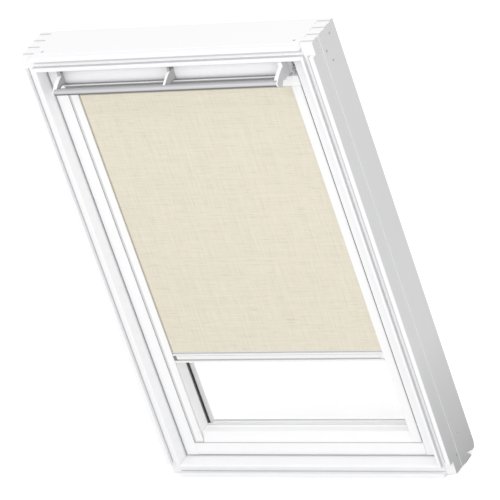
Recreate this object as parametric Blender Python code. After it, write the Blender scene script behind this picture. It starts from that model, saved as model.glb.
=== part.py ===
"""A centre-pivot roof window with a roller blind, standing upright on its bottom member.

X runs across the window, -Y faces the room, +Y the weather, and +Z runs up the slope. The object
stands on Z = 0, with the middle of its underside at the origin. Sizes below are in millimetres and
become metres when a mesh is made. A member's section is written as (inset, depth): inset counts
inwards from the frame's outer edge, depth counts back from the front of the frame's lip.
"""
import math

import bmesh
import bpy
from mathutils import Matrix, Vector

MM = 0.001

# Overall size of the frame
WIDTH = 780.0
HEIGHT = 1178.0
DEPTH = 123.0
HALF = WIDTH / 2

# Clearances
TOUCH = 0.3            # between pieces that sit against each other
RUNNING = 0.06         # radial, between a pin and its hole
OVER = 5.0             # how far a cutting shape reaches past what it cuts

# Section of the frame members
LIP = 12.5             # outer lip, in front of everything else
EDGE = 0.9             # rounding of the members' front edges
GROOVE = 16.0          # lining groove between lip and nose
GROOVE_DEPTH = 11.3
NOSE = 7.8             # width of the nose's front
NOSE_ROUND = 2.5
TOP_NOSE = 10.3        # the same along the top, where it hides the flap's top
TOP_NOSE_ROUND = 1.2
JAMB_SPLAY = 4.7       # how far the jamb slopes inwards on its way back
FRAME_THICK = LIP + GROOVE + NOSE + JAMB_SPLAY
SIDE_STEP = 1.3        # the outer side face steps out behind its front part
SIDE_STEP_DEPTH = 45.0
TOP_STEP = 0.8
TOP_STEP_DEPTH = 15.5
NOSE_END = LIP + GROOVE

# Corners of the frame
BLOCK = 34.0           # the side members run through to the ends over this width
BLOCK_DEPTH = 14.0     # the corner blocks stand this far back
SIDE_LIP_TOP = 32.0    # lip of a side member ends this far below its top
SIDE_LIP_BOTTOM = 38.0
TOP_LIP_INSET = 33.0
BOTTOM_LIP_INSET = 28.0
FINGER = 15.0          # finger joint: thickness of a finger
FINGER_PITCH = 29.6
FINGER_FIRST = 22.5
FINGER_COUNT = 4
FINGER_LENGTH = 33.0
FINGER_RECESS = 1.6    # the side member's own fingers end short of the top face
FOOT_START = 60.0      # the side member's lower end: a foot, with shorter parts beside it
FOOT_END = 97.0
FOOT_FRONT_RISE = 4.0
FOOT_BACK_RISE = 8.0
FOOT_CHAMFER_DEPTH = 5.0
FOOT_CHAMFER_RISE = 22.0
FOOT_NICK = [(97.3, 0.6), (94.0, 3.4), (87.6, 11.4), (78.4, 19.6), (89.9, 14.7), (101.9, 10.6),
             (105.0, 7.7), (97.3, 7.7)]     # (depth, height) of the nick behind the foot

# Sash
SASH_GAP = 3.3
SASH_FACE = 33.0
SASH_DEPTH = 67.0
SASH_STILE = 32.5      # visible width of a side member's face
SASH_FOOT = 33.2       # visible height of the bottom member's face
SASH_EDGE = 1.5        # rounding of its edges
REVEAL = 26.9          # from the stile's face to the wall beside the glass
RAIL_SEAT = 18.0       # step that carries a side rail, measured back from the face
GLASS_BED = 40.0       # from the sash's face to the shelf behind which the glass lies
BITE = 9.7             # how far a stile's shelf laps over the glass
SASH_OUT = FRAME_THICK + SASH_GAP
STILE_IN = SASH_OUT + SASH_STILE
WALL_IN = STILE_IN + REVEAL
FOOT_IN = SASH_OUT + SASH_FOOT
SASH_BACK = SASH_FACE + SASH_DEPTH
BED = SASH_FACE + GLASS_BED
SEAT = SASH_FACE + RAIL_SEAT
SHADOW_LINE = 2.4      # groove above the bottom member's face
SHADOW_DEPTH = 3.0
LEDGE = 26.0           # rise of the bottom member's inner ledge above that groove
LEDGE_LIP = 1.0        # its lower edge lies this far behind the face
LEDGE_START = 8.0      # depth at which the ledge levels out, behind the face
LEDGE_ROUND = 4.0
LEDGE_BITE = 22.0
LEDGE_IN = FOOT_IN + SHADOW_LINE + LEDGE

# Sealing strip round the frame's inside, behind the sash
SEAL_BEHIND = 7.0
SEAL_DEPTH = SASH_BACK + SEAL_BEHIND
SEAL_WIDE = 8.0
SEAL_PROUD = 1.6

# Glass unit
PANE = 4.0
PANE_SPACE = 16.0
GASKET = 2.4
GASKET_PROUD = 1.4
SEAL_WIDTH = 12.0
SPACER_WIDTH = 2.5
SEAL_INSET = 1.0
GLASS_FRONT = BED + GASKET + 2 * TOUCH

# Outside covers
COVER = 5.0
COVER_BEVEL = 5.5
COVER_EDGE = 1.5
COVER_LAP = 1.0        # the top cover reaches this far past the top member
COVER_FOOT = 6.0       # the bottom cover's edge lies this far below the ledge, level with the spacer
COVER_REST = 1.7       # from the sash's outer edge

# Pivots, halfway up
PIVOT_HEIGHT = HEIGHT / 2
PIVOT_PIN = 6.0
PIVOT_PLATE = (60.0, 30.0, 2.0)
PIVOT_REACH = 10.0     # how far the pin enters the frame member

# Latch
LATCH_CASE = (80.0, 34.0, 36.0)
LATCH_BOLT = (24.0, 12.0, 25.4)
LATCH_PROUD = 1.7
LATCH_TRAVEL = 8.0
KEEPER = (90.0, 40.0, 2.0)
LATCH_BACK = 8.0        # from the sash's back to the latch case
LATCH_DEPTH = SASH_BACK - LATCH_BACK - LATCH_CASE[1] / 2

# Top of the sash: the flap's opening, the filter
FLAP_BAY = 2.0         # the flap's room ends this far behind the rails' seat
FLAP_BAY_DEPTH = SEAT + FLAP_BAY
SASH_TOP_LOWER = 91.5  # underside of the top member
TOP_BITE = 10.5
FILTER = (20.0, 24.0)   # height and depth
FILTER_INNER = 50.0    # from the middle to its inner end
FILTER_MARGIN = 21.3   # from its outer end to the wall beside the glass
FILTER_TOP = 55.0

# Ventilation flap, brackets and control bar; drops count down from the frame's top
FLAP_WALL = 2.6
FLAP_TOP = 47.0
FLAP_FOOT = 84.8
FLAP_FRONT = 20.0
FLAP_LEAN = 4.5
FLAP_BACK = 44.0
GUTTER = 8.5           # ledge with an upstand along the flap's foot
GUTTER_WALL = 1.5
GUTTER_RISE = 3.3
FLAP_AXIS_DEPTH = 40.0
FLAP_AXIS_DROP = 81.5
FLAP_PIN = 2.5
FLAP_PIN_REACH = 7.5
BRACKET_GAP = 12.7     # between an end bracket and the stile
BRACKET_PLATE = 3.0
BRACKET_RIM = 10.0     # width of an end bracket's front
RIM_THICK = 2.6
MIDDLE_BRACKET = 6.0
BRACKET_TOP = (4.0, 42.0)
BRACKET_BROW = (4.0, 52.5)
BRACKET_BOW = (-14.5, 57.0)
BRACKET_BACK = (46.0, 48.0)
ARCH_TOE = (-36.5, 82.0)
ARCH_HEEL = (-21.0, 90.0)
ARCH_CROWN = (-11.0, 77.0)
ARCH_END = (5.0, 78.7)
PLATE_KEEL = [(13.0, 83.7), (20.0, 87.0), (28.0, 87.0), (32.0, 91.0), (37.0, 93.7), (43.5, 93.2),
              (46.0, 90.5)]
BAR_RADIUS = 8.2
BAR_DEPTH = -29.0
BAR_DROP = 76.0
BAR_SEAT = 2.0         # material of an end plate round the bar
BRACKET_TIP = 2.5      # a bracket's front meets the bar this far before its middle
BRACKET_RAKE = 1 / 3   # how much lower the back of an end bracket's front lies, per depth
BRIM_ROUND = 3.0
TOE_ROUND = 1.5
BRACKET_OUT = HALF - STILE_IN - BRACKET_GAP
PLATE_IN = BRACKET_OUT - BRACKET_PLATE

# Blind: casing and roller
CASING_TOP = 95.0
CASING_HEIGHT = 25.5
CASING_DEPTH = 28.0
CASING_WALL = 1.3
CASING_ROUND = 2.0
CASING_END = 2.4
CLOTH = 0.6
CLOTH_DEPTH = 35.6     # front of the cloth
CLOTH_MARGIN = 15.0    # hidden in each rail
CLOTH_ROOM = 1.5       # behind the cloth, where it leaves the casing
ROLL_RADIUS = 9.8
TUBE_RADIUS = 8.3
TUBE_WALL = 1.0
TUBE_MARGIN = 8.0
PLUG_LENGTH = 12.0
AXLE = 2.0
AXLE_REACH = 10.0      # how far an axle pin enters the tube
CASING_LOW = CASING_TOP + CASING_HEIGHT
ROLL_DEPTH = CLOTH_DEPTH + CLOTH + TOUCH + ROLL_RADIUS
ROLL_DROP = CASING_TOP + CASING_HEIGHT / 2

# Blind: rails, bottom bar
RAIL_GAP = 1.5         # dark line between stile and rail
RAIL_SLOT = 3.2
RAIL_FLANGE = 1.4
RAIL_ROOT = 3.7
RAIL_EDGE = 0.8
RAIL_OUT = STILE_IN + RAIL_GAP
RAIL_IN = WALL_IN - TOUCH
BAR_LOW = 309.8
BAR_FOOT = 5.0         # low rib
BAR_SLOT = 4.2         # groove above it
BAR_BODY = 9.6
RIB_LINE = 1.0         # groove between body and upper rib
BAR_RIB = 4.0
HEM_SLOT = 3.6         # groove under the cloth's hem
HEM_LIP = 1.3
SLOT_BACK = 3.0
BODY_BACK = 0.4        # the body's face lies this far behind the ribs'
LIP_BACK = 2.2
BAR_EDGE = 0.5
BAR_FRONT = 33.0
BAR_THICK = 5.5
BAR_GAP = 0.8
BAR_NOTCH = 8.6        # the body ends this far short of the ribs
BODY_LOW = BAR_LOW + BAR_FOOT + BAR_SLOT
BODY_HIGH = BODY_LOW + BAR_BODY
BAR_HIGH = BODY_HIGH + RIB_LINE + BAR_RIB + HEM_SLOT + HEM_LIP
GLIDE = 2.4
GLIDE_END = 2.0

# Screw holes in the frame: (depth, height from the near end)
SCREW_HOLE = 3.5
SCREW_HOLE_DEPTH = 2.5

# Sides of round pieces
HOLE_SIDES = 16
PIN_SIDES = 24
ROUND_SIDES = 32
TOP_SCREWS = [(72.8, 81.4), (59.4, 49.8)]
FINGER_SCREW = (92.1, 22.4)     # on the top member's third finger
FOOT_SCREWS = [(70.7, 80.7), (39.3, 40.1)]
LID_SCREW_INSET = 53.5
LID_SCREW_DEPTH = 28.0

SHARP = math.radians(35.0)      # a fold wider than this stays a sharp edge

PIVOT_DEPTH = SASH_FACE + SASH_DEPTH / 2


def material(name, color, roughness, metallic=0.0, alpha=1.0):
    """A plain Principled material; its colour is linear."""
    made = bpy.data.materials.new(name)
    made.use_nodes = True
    shader = made.node_tree.nodes["Principled BSDF"]
    shader.inputs["Base Color"].default_value = (*color, 1.0)
    shader.inputs["Roughness"].default_value = roughness
    shader.inputs["Metallic"].default_value = metallic
    shader.inputs["Alpha"].default_value = alpha
    return made


WHITE = ((0.90, 0.90, 0.91), 0.35, 0.0)
PLASTIC = ((0.88, 0.88, 0.89), 0.40, 0.0)
RAIL_WHITE = ((0.89, 0.89, 0.90), 0.30, 0.0)
ALUMINIUM = ((0.72, 0.73, 0.74), 0.28, 1.0)
DARK_ALUMINIUM = ((0.20, 0.21, 0.22), 0.40, 0.8)
STEEL = ((0.60, 0.60, 0.61), 0.35, 1.0)
RUBBER = ((0.02, 0.02, 0.02), 0.70, 0.0)
GREY_METAL = ((0.45, 0.46, 0.47), 0.45, 0.8)
LINEN = ((0.78, 0.73, 0.62), 0.90, 0.0)
FOAM = ((0.25, 0.26, 0.27), 0.95, 0.0)
GLASS = ((0.85, 0.92, 0.90), 0.05, 0.0, 0.35)


class Shape:
    """Collects the closed solids of one node, in millimetres."""

    def __init__(self):
        self.mesh = bmesh.new()

    def prism(self, outline, axis, low, high):
        """Carries a closed outline along an axis. Outlines are (y, z), (x, z) or (x, y)."""
        def place(point, along):
            first, second = point
            if axis == "X":
                return (along, first, second)
            if axis == "Y":
                return (first, along, second)
            return (first, second, along)
        rings = []
        for along in (low, high):
            rings.append([self.mesh.verts.new(place(point, along)) for point in outline])
        count = len(outline)
        faces = [self.mesh.faces.new(rings[0]), self.mesh.faces.new(rings[1])]
        for index in range(count):
            after = (index + 1) % count
            corners = (rings[0][index], rings[0][after], rings[1][after], rings[1][index])
            faces.append(self.mesh.faces.new(corners))
        bmesh.ops.recalc_face_normals(self.mesh, faces=faces)
        return self

    def box(self, low, high):
        """A box between two corners."""
        outline = [(low[0], low[1]), (high[0], low[1]), (high[0], high[1]), (low[0], high[1])]
        return self.prism(outline, "Z", low[2], high[2])

    def rod(self, axis, centre, radius, low, high, sides=PIN_SIDES):
        """A round rod; its centre is given in the two coordinates across the axis."""
        return self.prism(circle(centre, radius, sides), axis, low, high)

    def sleeve(self, axis, centre, outer, inner, low, high, sides=ROUND_SIDES):
        """A tube with open ends."""
        rings = []
        for radius in (outer, inner):
            for along in (low, high):
                ring = Shape()
                ring.prism(circle(centre, radius, sides), axis, along, along + OVER)
                points = [vert.co.copy() for vert in list(ring.mesh.verts)[:sides]]
                rings.append([self.mesh.verts.new(point) for point in points])
        pairs = ((0, 1), (1, 3), (3, 2), (2, 0))
        faces = []
        for first, second in pairs:
            for index in range(sides):
                after = (index + 1) % sides
                corners = (rings[first][index], rings[first][after],
                           rings[second][after], rings[second][index])
                faces.append(self.mesh.faces.new(corners))
        bmesh.ops.recalc_face_normals(self.mesh, faces=faces)
        return self

    def frame(self, outer, inner, low, high):
        """A flat rectangular ring in the XZ plane, between two depths."""
        rings = []
        for rectangle in (outer, inner):
            (x_low, z_low), (x_high, z_high) = rectangle
            corners = ((x_low, z_low), (x_high, z_low), (x_high, z_high), (x_low, z_high))
            for y in (low, high):
                rings.append([self.mesh.verts.new((x, y, z)) for x, z in corners])
        faces = []
        for first, second in ((0, 1), (1, 3), (3, 2), (2, 0)):
            for index in range(4):
                after = (index + 1) % 4
                corners = (rings[first][index], rings[first][after],
                           rings[second][after], rings[second][index])
                faces.append(self.mesh.faces.new(corners))
        bmesh.ops.recalc_face_normals(self.mesh, faces=faces)
        return self

    def build(self, name, look=None):
        """Turns the collected solids into an object, in metres."""
        bmesh.ops.scale(self.mesh, vec=Vector((MM, MM, MM)), verts=self.mesh.verts)
        data = bpy.data.meshes.new(name)
        self.mesh.to_mesh(data)
        self.mesh.free()
        made = bpy.data.objects.new(name, data)
        bpy.context.collection.objects.link(made)
        if look is not None:
            data.materials.append(material(name, *look))
        return made


def circle(centre, radius, sides):
    """Points of a regular polygon on a circle."""
    turn = 2 * math.pi / sides
    return [(centre[0] + radius * math.cos(turn * step), centre[1] + radius * math.sin(turn * step))
            for step in range(sides)]


def combine(target, shape, operation):
    """Joins a shape to an object, or cuts it out, and keeps the result as the object's mesh."""
    tool = shape.build("tool")
    step = target.modifiers.new(operation.lower(), "BOOLEAN")
    step.operation = operation
    step.solver = "EXACT"
    step.object = tool
    graph = bpy.context.evaluated_depsgraph_get()
    result = bpy.data.meshes.new_from_object(target.evaluated_get(graph))
    result.name = target.name
    target.modifiers.clear()
    target.data = result
    bpy.data.objects.remove(tool)
    return target


def cut(target, shape):
    """Cuts a shape out of an object."""
    return combine(target, shape, "DIFFERENCE")


def rounded(points, steps=3):
    """Closes an outline whose points are (a, b) or (a, b, radius) for a rounded corner."""
    outline = []
    count = len(points)
    for index, point in enumerate(points):
        radius = point[2] if len(point) > 2 else 0.0
        corner = Vector(point[:2])
        if radius == 0.0:
            outline.append((corner.x, corner.y))
            continue
        before = (Vector(points[index - 1][:2]) - corner).normalized()
        after = (Vector(points[(index + 1) % count][:2]) - corner).normalized()
        half = before.angle(after) / 2
        reach = radius / math.tan(half)
        centre = corner + (before + after).normalized() * radius / math.sin(half)
        start = (corner + before * reach - centre).normalized()
        end = (corner + after * reach - centre).normalized()
        for step in range(steps + 1):
            on_arc = centre + start.slerp(end, step / steps) * radius
            outline.append((on_arc.x, on_arc.y))
    return outline


def bend(start, middle, end, steps):
    """Points of a quadratic curve, both ends included."""
    points = []
    for step in range(steps + 1):
        share = step / steps
        point = ((1 - share) ** 2 * Vector(start) + 2 * share * (1 - share) * Vector(middle)
                 + share ** 2 * Vector(end))
        points.append((point.x, point.y))
    return points


def y_of(depth):
    """World Y of a depth behind the lip's front."""
    return depth - DEPTH / 2


def side_outline(section, side):
    """Section (inset, depth) of an upright member as world (x, y); side is -1 or 1."""
    return [(side * (HALF - inset), y_of(depth)) for inset, depth in section]


def top_outline(section):
    """Section (inset, depth) of a member along the top as world (y, z)."""
    return [(y_of(depth), HEIGHT - inset) for inset, depth in section]


def bottom_outline(section):
    """Section (inset, depth) of a member along the bottom as world (y, z)."""
    return [(y_of(depth), inset) for inset, depth in section]


def side_box(shape, side, insets, depths, heights):
    """A box given by insets, depths and heights at the left (-1) or right (1) side."""
    low, high = sorted((side * (HALF - insets[0]), side * (HALF - insets[1])))
    return shape.box((low, y_of(depths[0]), heights[0]), (high, y_of(depths[1]), heights[1]))


def frame_section(step, step_depth, nose=NOSE, nose_round=NOSE_ROUND):
    """Section of a frame member, whose outer face may have a step."""
    back = [(0.0, DEPTH)]
    if step:
        back += [(0.0, step_depth), (step, step_depth)]
    return rounded(back + [
        (step, 0.0, EDGE),
        (LIP, 0.0, EDGE),
        (LIP, GROOVE_DEPTH),
        (NOSE_END, GROOVE_DEPTH),
        (NOSE_END, 0.0, EDGE),
        (NOSE_END + nose, 0.0, nose_round),
        (FRAME_THICK, SASH_FACE),
        (FRAME_THICK, DEPTH),
    ])


def finger_depths():
    """Depths between which the top member's fingers lie."""
    spans = []
    for index in range(FINGER_COUNT):
        start = FINGER_FIRST + index * FINGER_PITCH
        spans.append((start, min(start + FINGER, DEPTH)))
    return spans


def screw_spots():
    """Centres (y, z) of the screws let into an upright member."""
    spots = [(y_of(depth), HEIGHT - drop) for depth, drop in TOP_SCREWS]
    return spots + [(y_of(depth), rise) for depth, rise in FOOT_SCREWS]


def screw_hole(shape, side, spot):
    """A screw's hole, in from one side face of the frame."""
    ends = sorted((side * (HALF - SCREW_HOLE_DEPTH), side * (HALF + OVER)))
    return shape.rod("X", spot, SCREW_HOLE, *ends, HOLE_SIDES)


def corner_prism(shape, side, outline, depths, top):
    """Carries an outline of (inset from the side, inset from the end) back through the frame."""
    points = []
    for across, along in outline:
        points.append((side * (HALF - across), HEIGHT - along if top else along))
    return shape.prism(points, "Y", y_of(depths[0]), y_of(depths[1]))


def make_frame_side(name, side):
    """An upright frame member, with its corner blocks, finger slots, foot and pivot pocket."""
    outline = side_outline(frame_section(SIDE_STEP, SIDE_STEP_DEPTH), side)
    member = Shape().prism(outline, "Z", 0.0, HEIGHT).build(name, WHITE)
    front = -OVER
    past = FRAME_THICK + OVER
    deep = DEPTH + OVER
    above = HEIGHT + OVER
    mitre = [(BLOCK, -OVER), (BLOCK, BLOCK), (BLOCK + past, BLOCK + past), (BLOCK + past, -OVER)]
    block = NOSE_END - TOUCH
    for top, lip_end in ((True, SIDE_LIP_TOP), (False, SIDE_LIP_BOTTOM)):
        cut(member, corner_prism(Shape(), side, mitre, (front, deep), top))
        notch = [(-OVER, -OVER), (past, -OVER), (past, NOSE_END), (block, NOSE_END),
                 (block, lip_end), (-OVER, lip_end)]
        cut(member, corner_prism(Shape(), side, notch, (front, BLOCK_DEPTH), top))
    slots = Shape()
    side_box(slots, side, (-OVER, past), (BLOCK_DEPTH - OVER, deep),
             (HEIGHT - FINGER_RECESS, above))
    cut(member, slots)
    slots = Shape()
    for start, end in finger_depths():
        back = end + TOUCH if end < DEPTH else deep
        side_box(slots, side, (-OVER, past), (start - TOUCH, back),
                 (HEIGHT - FINGER_LENGTH - TOUCH, above))
    cut(member, slots)
    feet = Shape()
    side_box(feet, side, (-OVER, past), (front, FOOT_START), (-OVER, FOOT_FRONT_RISE))
    side_box(feet, side, (-OVER, past), (FOOT_END, deep), (-OVER, FOOT_BACK_RISE))
    cut(member, feet)
    corner = [(DEPTH - FOOT_CHAMFER_DEPTH, FOOT_BACK_RISE - TOUCH), (deep, FOOT_BACK_RISE - TOUCH),
              (deep, FOOT_CHAMFER_RISE), (DEPTH, FOOT_CHAMFER_RISE)]
    low, high = sorted((side * (HALF + OVER), side * (HALF - past)))
    for outline in (corner, FOOT_NICK):
        cut(member, Shape().prism([(y_of(depth), rise) for depth, rise in outline], "X", low, high))
    holes = Shape()
    for spot in screw_spots():
        screw_hole(holes, side, spot)
    cut(member, holes)
    height, depth, thick = PIVOT_PLATE
    pocket = Shape()
    side_box(pocket, side, (FRAME_THICK - thick - TOUCH, past),
             (PIVOT_DEPTH - depth / 2 - TOUCH, PIVOT_DEPTH + depth / 2 + TOUCH),
             (PIVOT_HEIGHT - height / 2 - TOUCH, PIVOT_HEIGHT + height / 2 + TOUCH))
    cut(member, pocket)
    reach = sorted((side * (HALF - past), side * (HALF - FRAME_THICK + PIVOT_REACH + TOUCH)))
    bore = Shape().rod("X", (y_of(PIVOT_DEPTH), PIVOT_HEIGHT), PIVOT_PIN + TOUCH, *reach)
    cut(member, bore)
    return member


def cut_corners(member, lip_inset, top):
    """Takes the side members' room out of the top or bottom member: a block, then a mitre."""
    edge = BLOCK + TOUCH
    far = FRAME_THICK + OVER
    nose = NOSE_END - TOUCH
    start = (-OVER, -OVER)
    mitre = [(edge, BLOCK), (edge + far, BLOCK + far), (-OVER, BLOCK + far)]
    deep = [start, (edge, -OVER)] + mitre
    shallow = [start, (lip_inset, -OVER), (lip_inset, nose), (edge, nose)] + mitre
    for side in (-1, 1):
        cut(member, corner_prism(Shape(), side, deep, (BLOCK_DEPTH - TOUCH, DEPTH + OVER), top))
        cut(member, corner_prism(Shape(), side, shallow, (-OVER, BLOCK_DEPTH), top))


def make_frame_top():
    """The top frame member, whose fingers reach through the side members."""
    outline = top_outline(frame_section(TOP_STEP, TOP_STEP_DEPTH, TOP_NOSE, TOP_NOSE_ROUND))
    member = Shape().prism(outline, "X", -HALF, HALF).build("frame_top", WHITE)
    cut_corners(member, TOP_LIP_INSET, True)
    fingers = Shape()
    for start, end in finger_depths():
        for side in (-1, 1):
            reach = SIDE_STEP if start < SIDE_STEP_DEPTH else 0.0
            side_box(fingers, side, (reach, FRAME_THICK + OVER), (start, end),
                     (HEIGHT - FINGER_LENGTH, HEIGHT))
    combine(member, fingers, "UNION")
    length, depth, thick = KEEPER
    pocket = Shape().box(
        (-length / 2 - TOUCH, y_of(LATCH_DEPTH - depth / 2 - TOUCH), HEIGHT - FRAME_THICK - OVER),
        (length / 2 + TOUCH, y_of(LATCH_DEPTH + depth / 2 + TOUCH),
         HEIGHT - FRAME_THICK + thick + TOUCH))
    cut(member, pocket)
    holes = Shape()
    for side in (-1, 1):
        spot = (side * (HALF - LID_SCREW_INSET), y_of(LID_SCREW_DEPTH))
        holes.rod("Z", spot, SCREW_HOLE, HEIGHT - SCREW_HOLE_DEPTH, HEIGHT + OVER, HOLE_SIDES)
        screw_hole(holes, side, (y_of(FINGER_SCREW[0]), HEIGHT - FINGER_SCREW[1]))
    cut(member, holes)
    return member


def make_frame_bottom():
    """The bottom frame member, which the window stands on."""
    outline = bottom_outline(frame_section(0.0, TOP_STEP_DEPTH))
    member = Shape().prism(outline, "X", -HALF, HALF).build("frame_bottom", WHITE)
    cut_corners(member, BOTTOM_LIP_INSET, False)
    return member


def make_seal():
    """The sealing strip round the frame's inner faces, behind the sash."""
    outer = FRAME_THICK + TOUCH
    inner = outer + SEAL_PROUD
    corners = [((-HALF + inset, inset), (HALF - inset, HEIGHT - inset)) for inset in (outer, inner)]
    strip = Shape().frame(*corners, y_of(SEAL_DEPTH), y_of(SEAL_DEPTH + SEAL_WIDE))
    strip.build("frame_seal", RUBBER)


def make_frame_pivot(name, side):
    """The plate in the frame's side that the sash's pin turns in."""
    height, depth, thick = PIVOT_PLATE
    plate = Shape()
    side_box(plate, side, (FRAME_THICK - thick, FRAME_THICK),
             (PIVOT_DEPTH - depth / 2, PIVOT_DEPTH + depth / 2),
             (PIVOT_HEIGHT - height / 2, PIVOT_HEIGHT + height / 2))
    plate = plate.build(name, STEEL)
    reach = sorted((side * (HALF - FRAME_THICK - OVER), side * (HALF - FRAME_THICK + OVER)))
    spot = (y_of(PIVOT_DEPTH), PIVOT_HEIGHT)
    return cut(plate, Shape().rod("X", spot, PIVOT_PIN + RUNNING, *reach, ROUND_SIDES))


def make_sash_pivot(name, side):
    """The sash's plate with the pin on it."""
    height, depth, thick = PIVOT_PLATE
    plate = Shape()
    side_box(plate, side, (SASH_OUT, SASH_OUT + thick),
             (PIVOT_DEPTH - depth / 2, PIVOT_DEPTH + depth / 2),
             (PIVOT_HEIGHT - height / 2, PIVOT_HEIGHT + height / 2))
    plate = plate.build(name, STEEL)
    reach = sorted((side * (HALF - SASH_OUT - thick / 2), side * (HALF - FRAME_THICK + PIVOT_REACH)))
    spot = (y_of(PIVOT_DEPTH), PIVOT_HEIGHT)
    return combine(plate, Shape().rod("X", spot, PIVOT_PIN, *reach, ROUND_SIDES), "UNION")


def make_sash_side(name, side):
    """An upright sash member: face, seat for the rail, wall beside the glass, glass rebate."""
    section = rounded([
        (SASH_OUT, SASH_FACE, SASH_EDGE),
        (STILE_IN, SASH_FACE, SASH_EDGE),
        (STILE_IN, SEAT),
        (WALL_IN, SEAT),
        (WALL_IN, BED),
        (WALL_IN - BITE, BED),
        (WALL_IN - BITE, SASH_BACK),
        (SASH_OUT, SASH_BACK),
    ])
    member = Shape().prism(side_outline(section, side), "Z", SASH_OUT, HEIGHT - SASH_OUT)
    member = member.build(name, WHITE)
    bay = Shape()
    side_box(bay, side, (STILE_IN, WALL_IN + OVER), (SEAT - OVER, SASH_FACE + CASING_DEPTH + TOUCH),
             (HEIGHT - CASING_LOW - TOUCH, HEIGHT - CASING_TOP + TOUCH))
    cut(member, bay)
    height, depth, thick = PIVOT_PLATE
    pocket = Shape()
    side_box(pocket, side, (SASH_OUT - OVER, SASH_OUT + thick + TOUCH),
             (PIVOT_DEPTH - depth / 2 - TOUCH, PIVOT_DEPTH + depth / 2 + TOUCH),
             (PIVOT_HEIGHT - height / 2 - TOUCH, PIVOT_HEIGHT + height / 2 + TOUCH))
    cut(member, pocket)
    reach = sorted((side * (HALF - STILE_IN - OVER), side * (HALF - STILE_IN + FLAP_PIN_REACH + TOUCH)))
    spot = (y_of(FLAP_AXIS_DEPTH), HEIGHT - FLAP_AXIS_DROP)
    return cut(member, Shape().rod("X", spot, FLAP_PIN + TOUCH, *reach))


def trim_sash_rail(member, heights):
    """Takes the side members' room out of a cross member, at both ends."""
    for side in (-1, 1):
        ends = Shape()
        side_box(ends, side, (-OVER, STILE_IN + TOUCH), (-OVER, DEPTH + OVER), heights)
        cut(member, ends)
        ends = Shape()
        side_box(ends, side, (-OVER, WALL_IN + TOUCH), (SEAT - TOUCH, BED + TOUCH), heights)
        cut(member, ends)
        ends = Shape()
        side_box(ends, side, (-OVER, WALL_IN - BITE + TOUCH), (BED, DEPTH + OVER), heights)
        cut(member, ends)


def make_sash_bottom():
    """The bottom sash member, with the shadow line and the ledge up to the glass."""
    crease = FOOT_IN + SHADOW_LINE
    section = rounded([
        (SASH_OUT, SASH_FACE, SASH_EDGE),
        (FOOT_IN, SASH_FACE, SASH_EDGE),
        (FOOT_IN, SASH_FACE + SHADOW_DEPTH),
        (crease, SASH_FACE + SHADOW_DEPTH),
        (crease, SASH_FACE + LEDGE_LIP),
        (LEDGE_IN, SASH_FACE + LEDGE_START, LEDGE_ROUND),
        (LEDGE_IN, BED),
        (LEDGE_IN - LEDGE_BITE, BED),
        (LEDGE_IN - LEDGE_BITE, SASH_BACK),
        (SASH_OUT, SASH_BACK),
    ])
    member = Shape().prism(bottom_outline(section), "X", -HALF, HALF).build("sash_bottom", WHITE)
    above = LEDGE_IN + OVER
    trim_sash_rail(member, (0.0, above))
    for side in (-1, 1):
        seat = Shape()
        side_box(seat, side, (STILE_IN, WALL_IN + TOUCH), (-OVER, SEAT + TOUCH), (crease - TOUCH, above))
        cut(member, seat)
    return member


def make_sash_top():
    """The top sash member, behind the flap, with rooms for the latch case and the filter."""
    section = [
        (SASH_OUT, FLAP_BAY_DEPTH),
        (SASH_TOP_LOWER, FLAP_BAY_DEPTH),
        (SASH_TOP_LOWER, BED),
        (SASH_TOP_LOWER - TOP_BITE, BED),
        (SASH_TOP_LOWER - TOP_BITE, SASH_BACK),
        (SASH_OUT, SASH_BACK),
    ]
    member = Shape().prism(top_outline(section), "X", -HALF, HALF).build("sash_top", WHITE)
    trim_sash_rail(member, (HEIGHT - SASH_TOP_LOWER - OVER, HEIGHT))
    length, depth, height = LATCH_CASE
    room = Shape().box(
        (-length / 2 - TOUCH, y_of(LATCH_DEPTH - depth / 2 - TOUCH),
         HEIGHT - SASH_OUT - height - TOUCH),
        (length / 2 + TOUCH, y_of(LATCH_DEPTH + depth / 2 + TOUCH), HEIGHT - SASH_OUT + OVER))
    cut(member, room)
    rooms = Shape()
    for side in (-1, 1):
        low, high = filter_span(side, TOUCH)
        rooms.box((low, y_of(FLAP_BAY_DEPTH - OVER), HEIGHT - FILTER_TOP - FILTER[0] - TOUCH),
                  (high, y_of(FLAP_BAY_DEPTH + FILTER[1] + TOUCH), HEIGHT - FILTER_TOP + TOUCH))
    cut(member, rooms)
    return member


def filter_span(side, grow=0.0):
    """X limits of the filter on one side of the latch."""
    outer = HALF - WALL_IN - FILTER_MARGIN
    return sorted((side * (FILTER_INNER - grow), side * (outer + grow)))


def make_filter(name, side):
    """A foam bar in the ventilation slot."""
    low, high = filter_span(side)
    bar = Shape().box((low, y_of(FLAP_BAY_DEPTH), HEIGHT - FILTER_TOP - FILTER[0]),
                      (high, y_of(FLAP_BAY_DEPTH + FILTER[1]), HEIGHT - FILTER_TOP))
    bar.build(name, FOAM)


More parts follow.
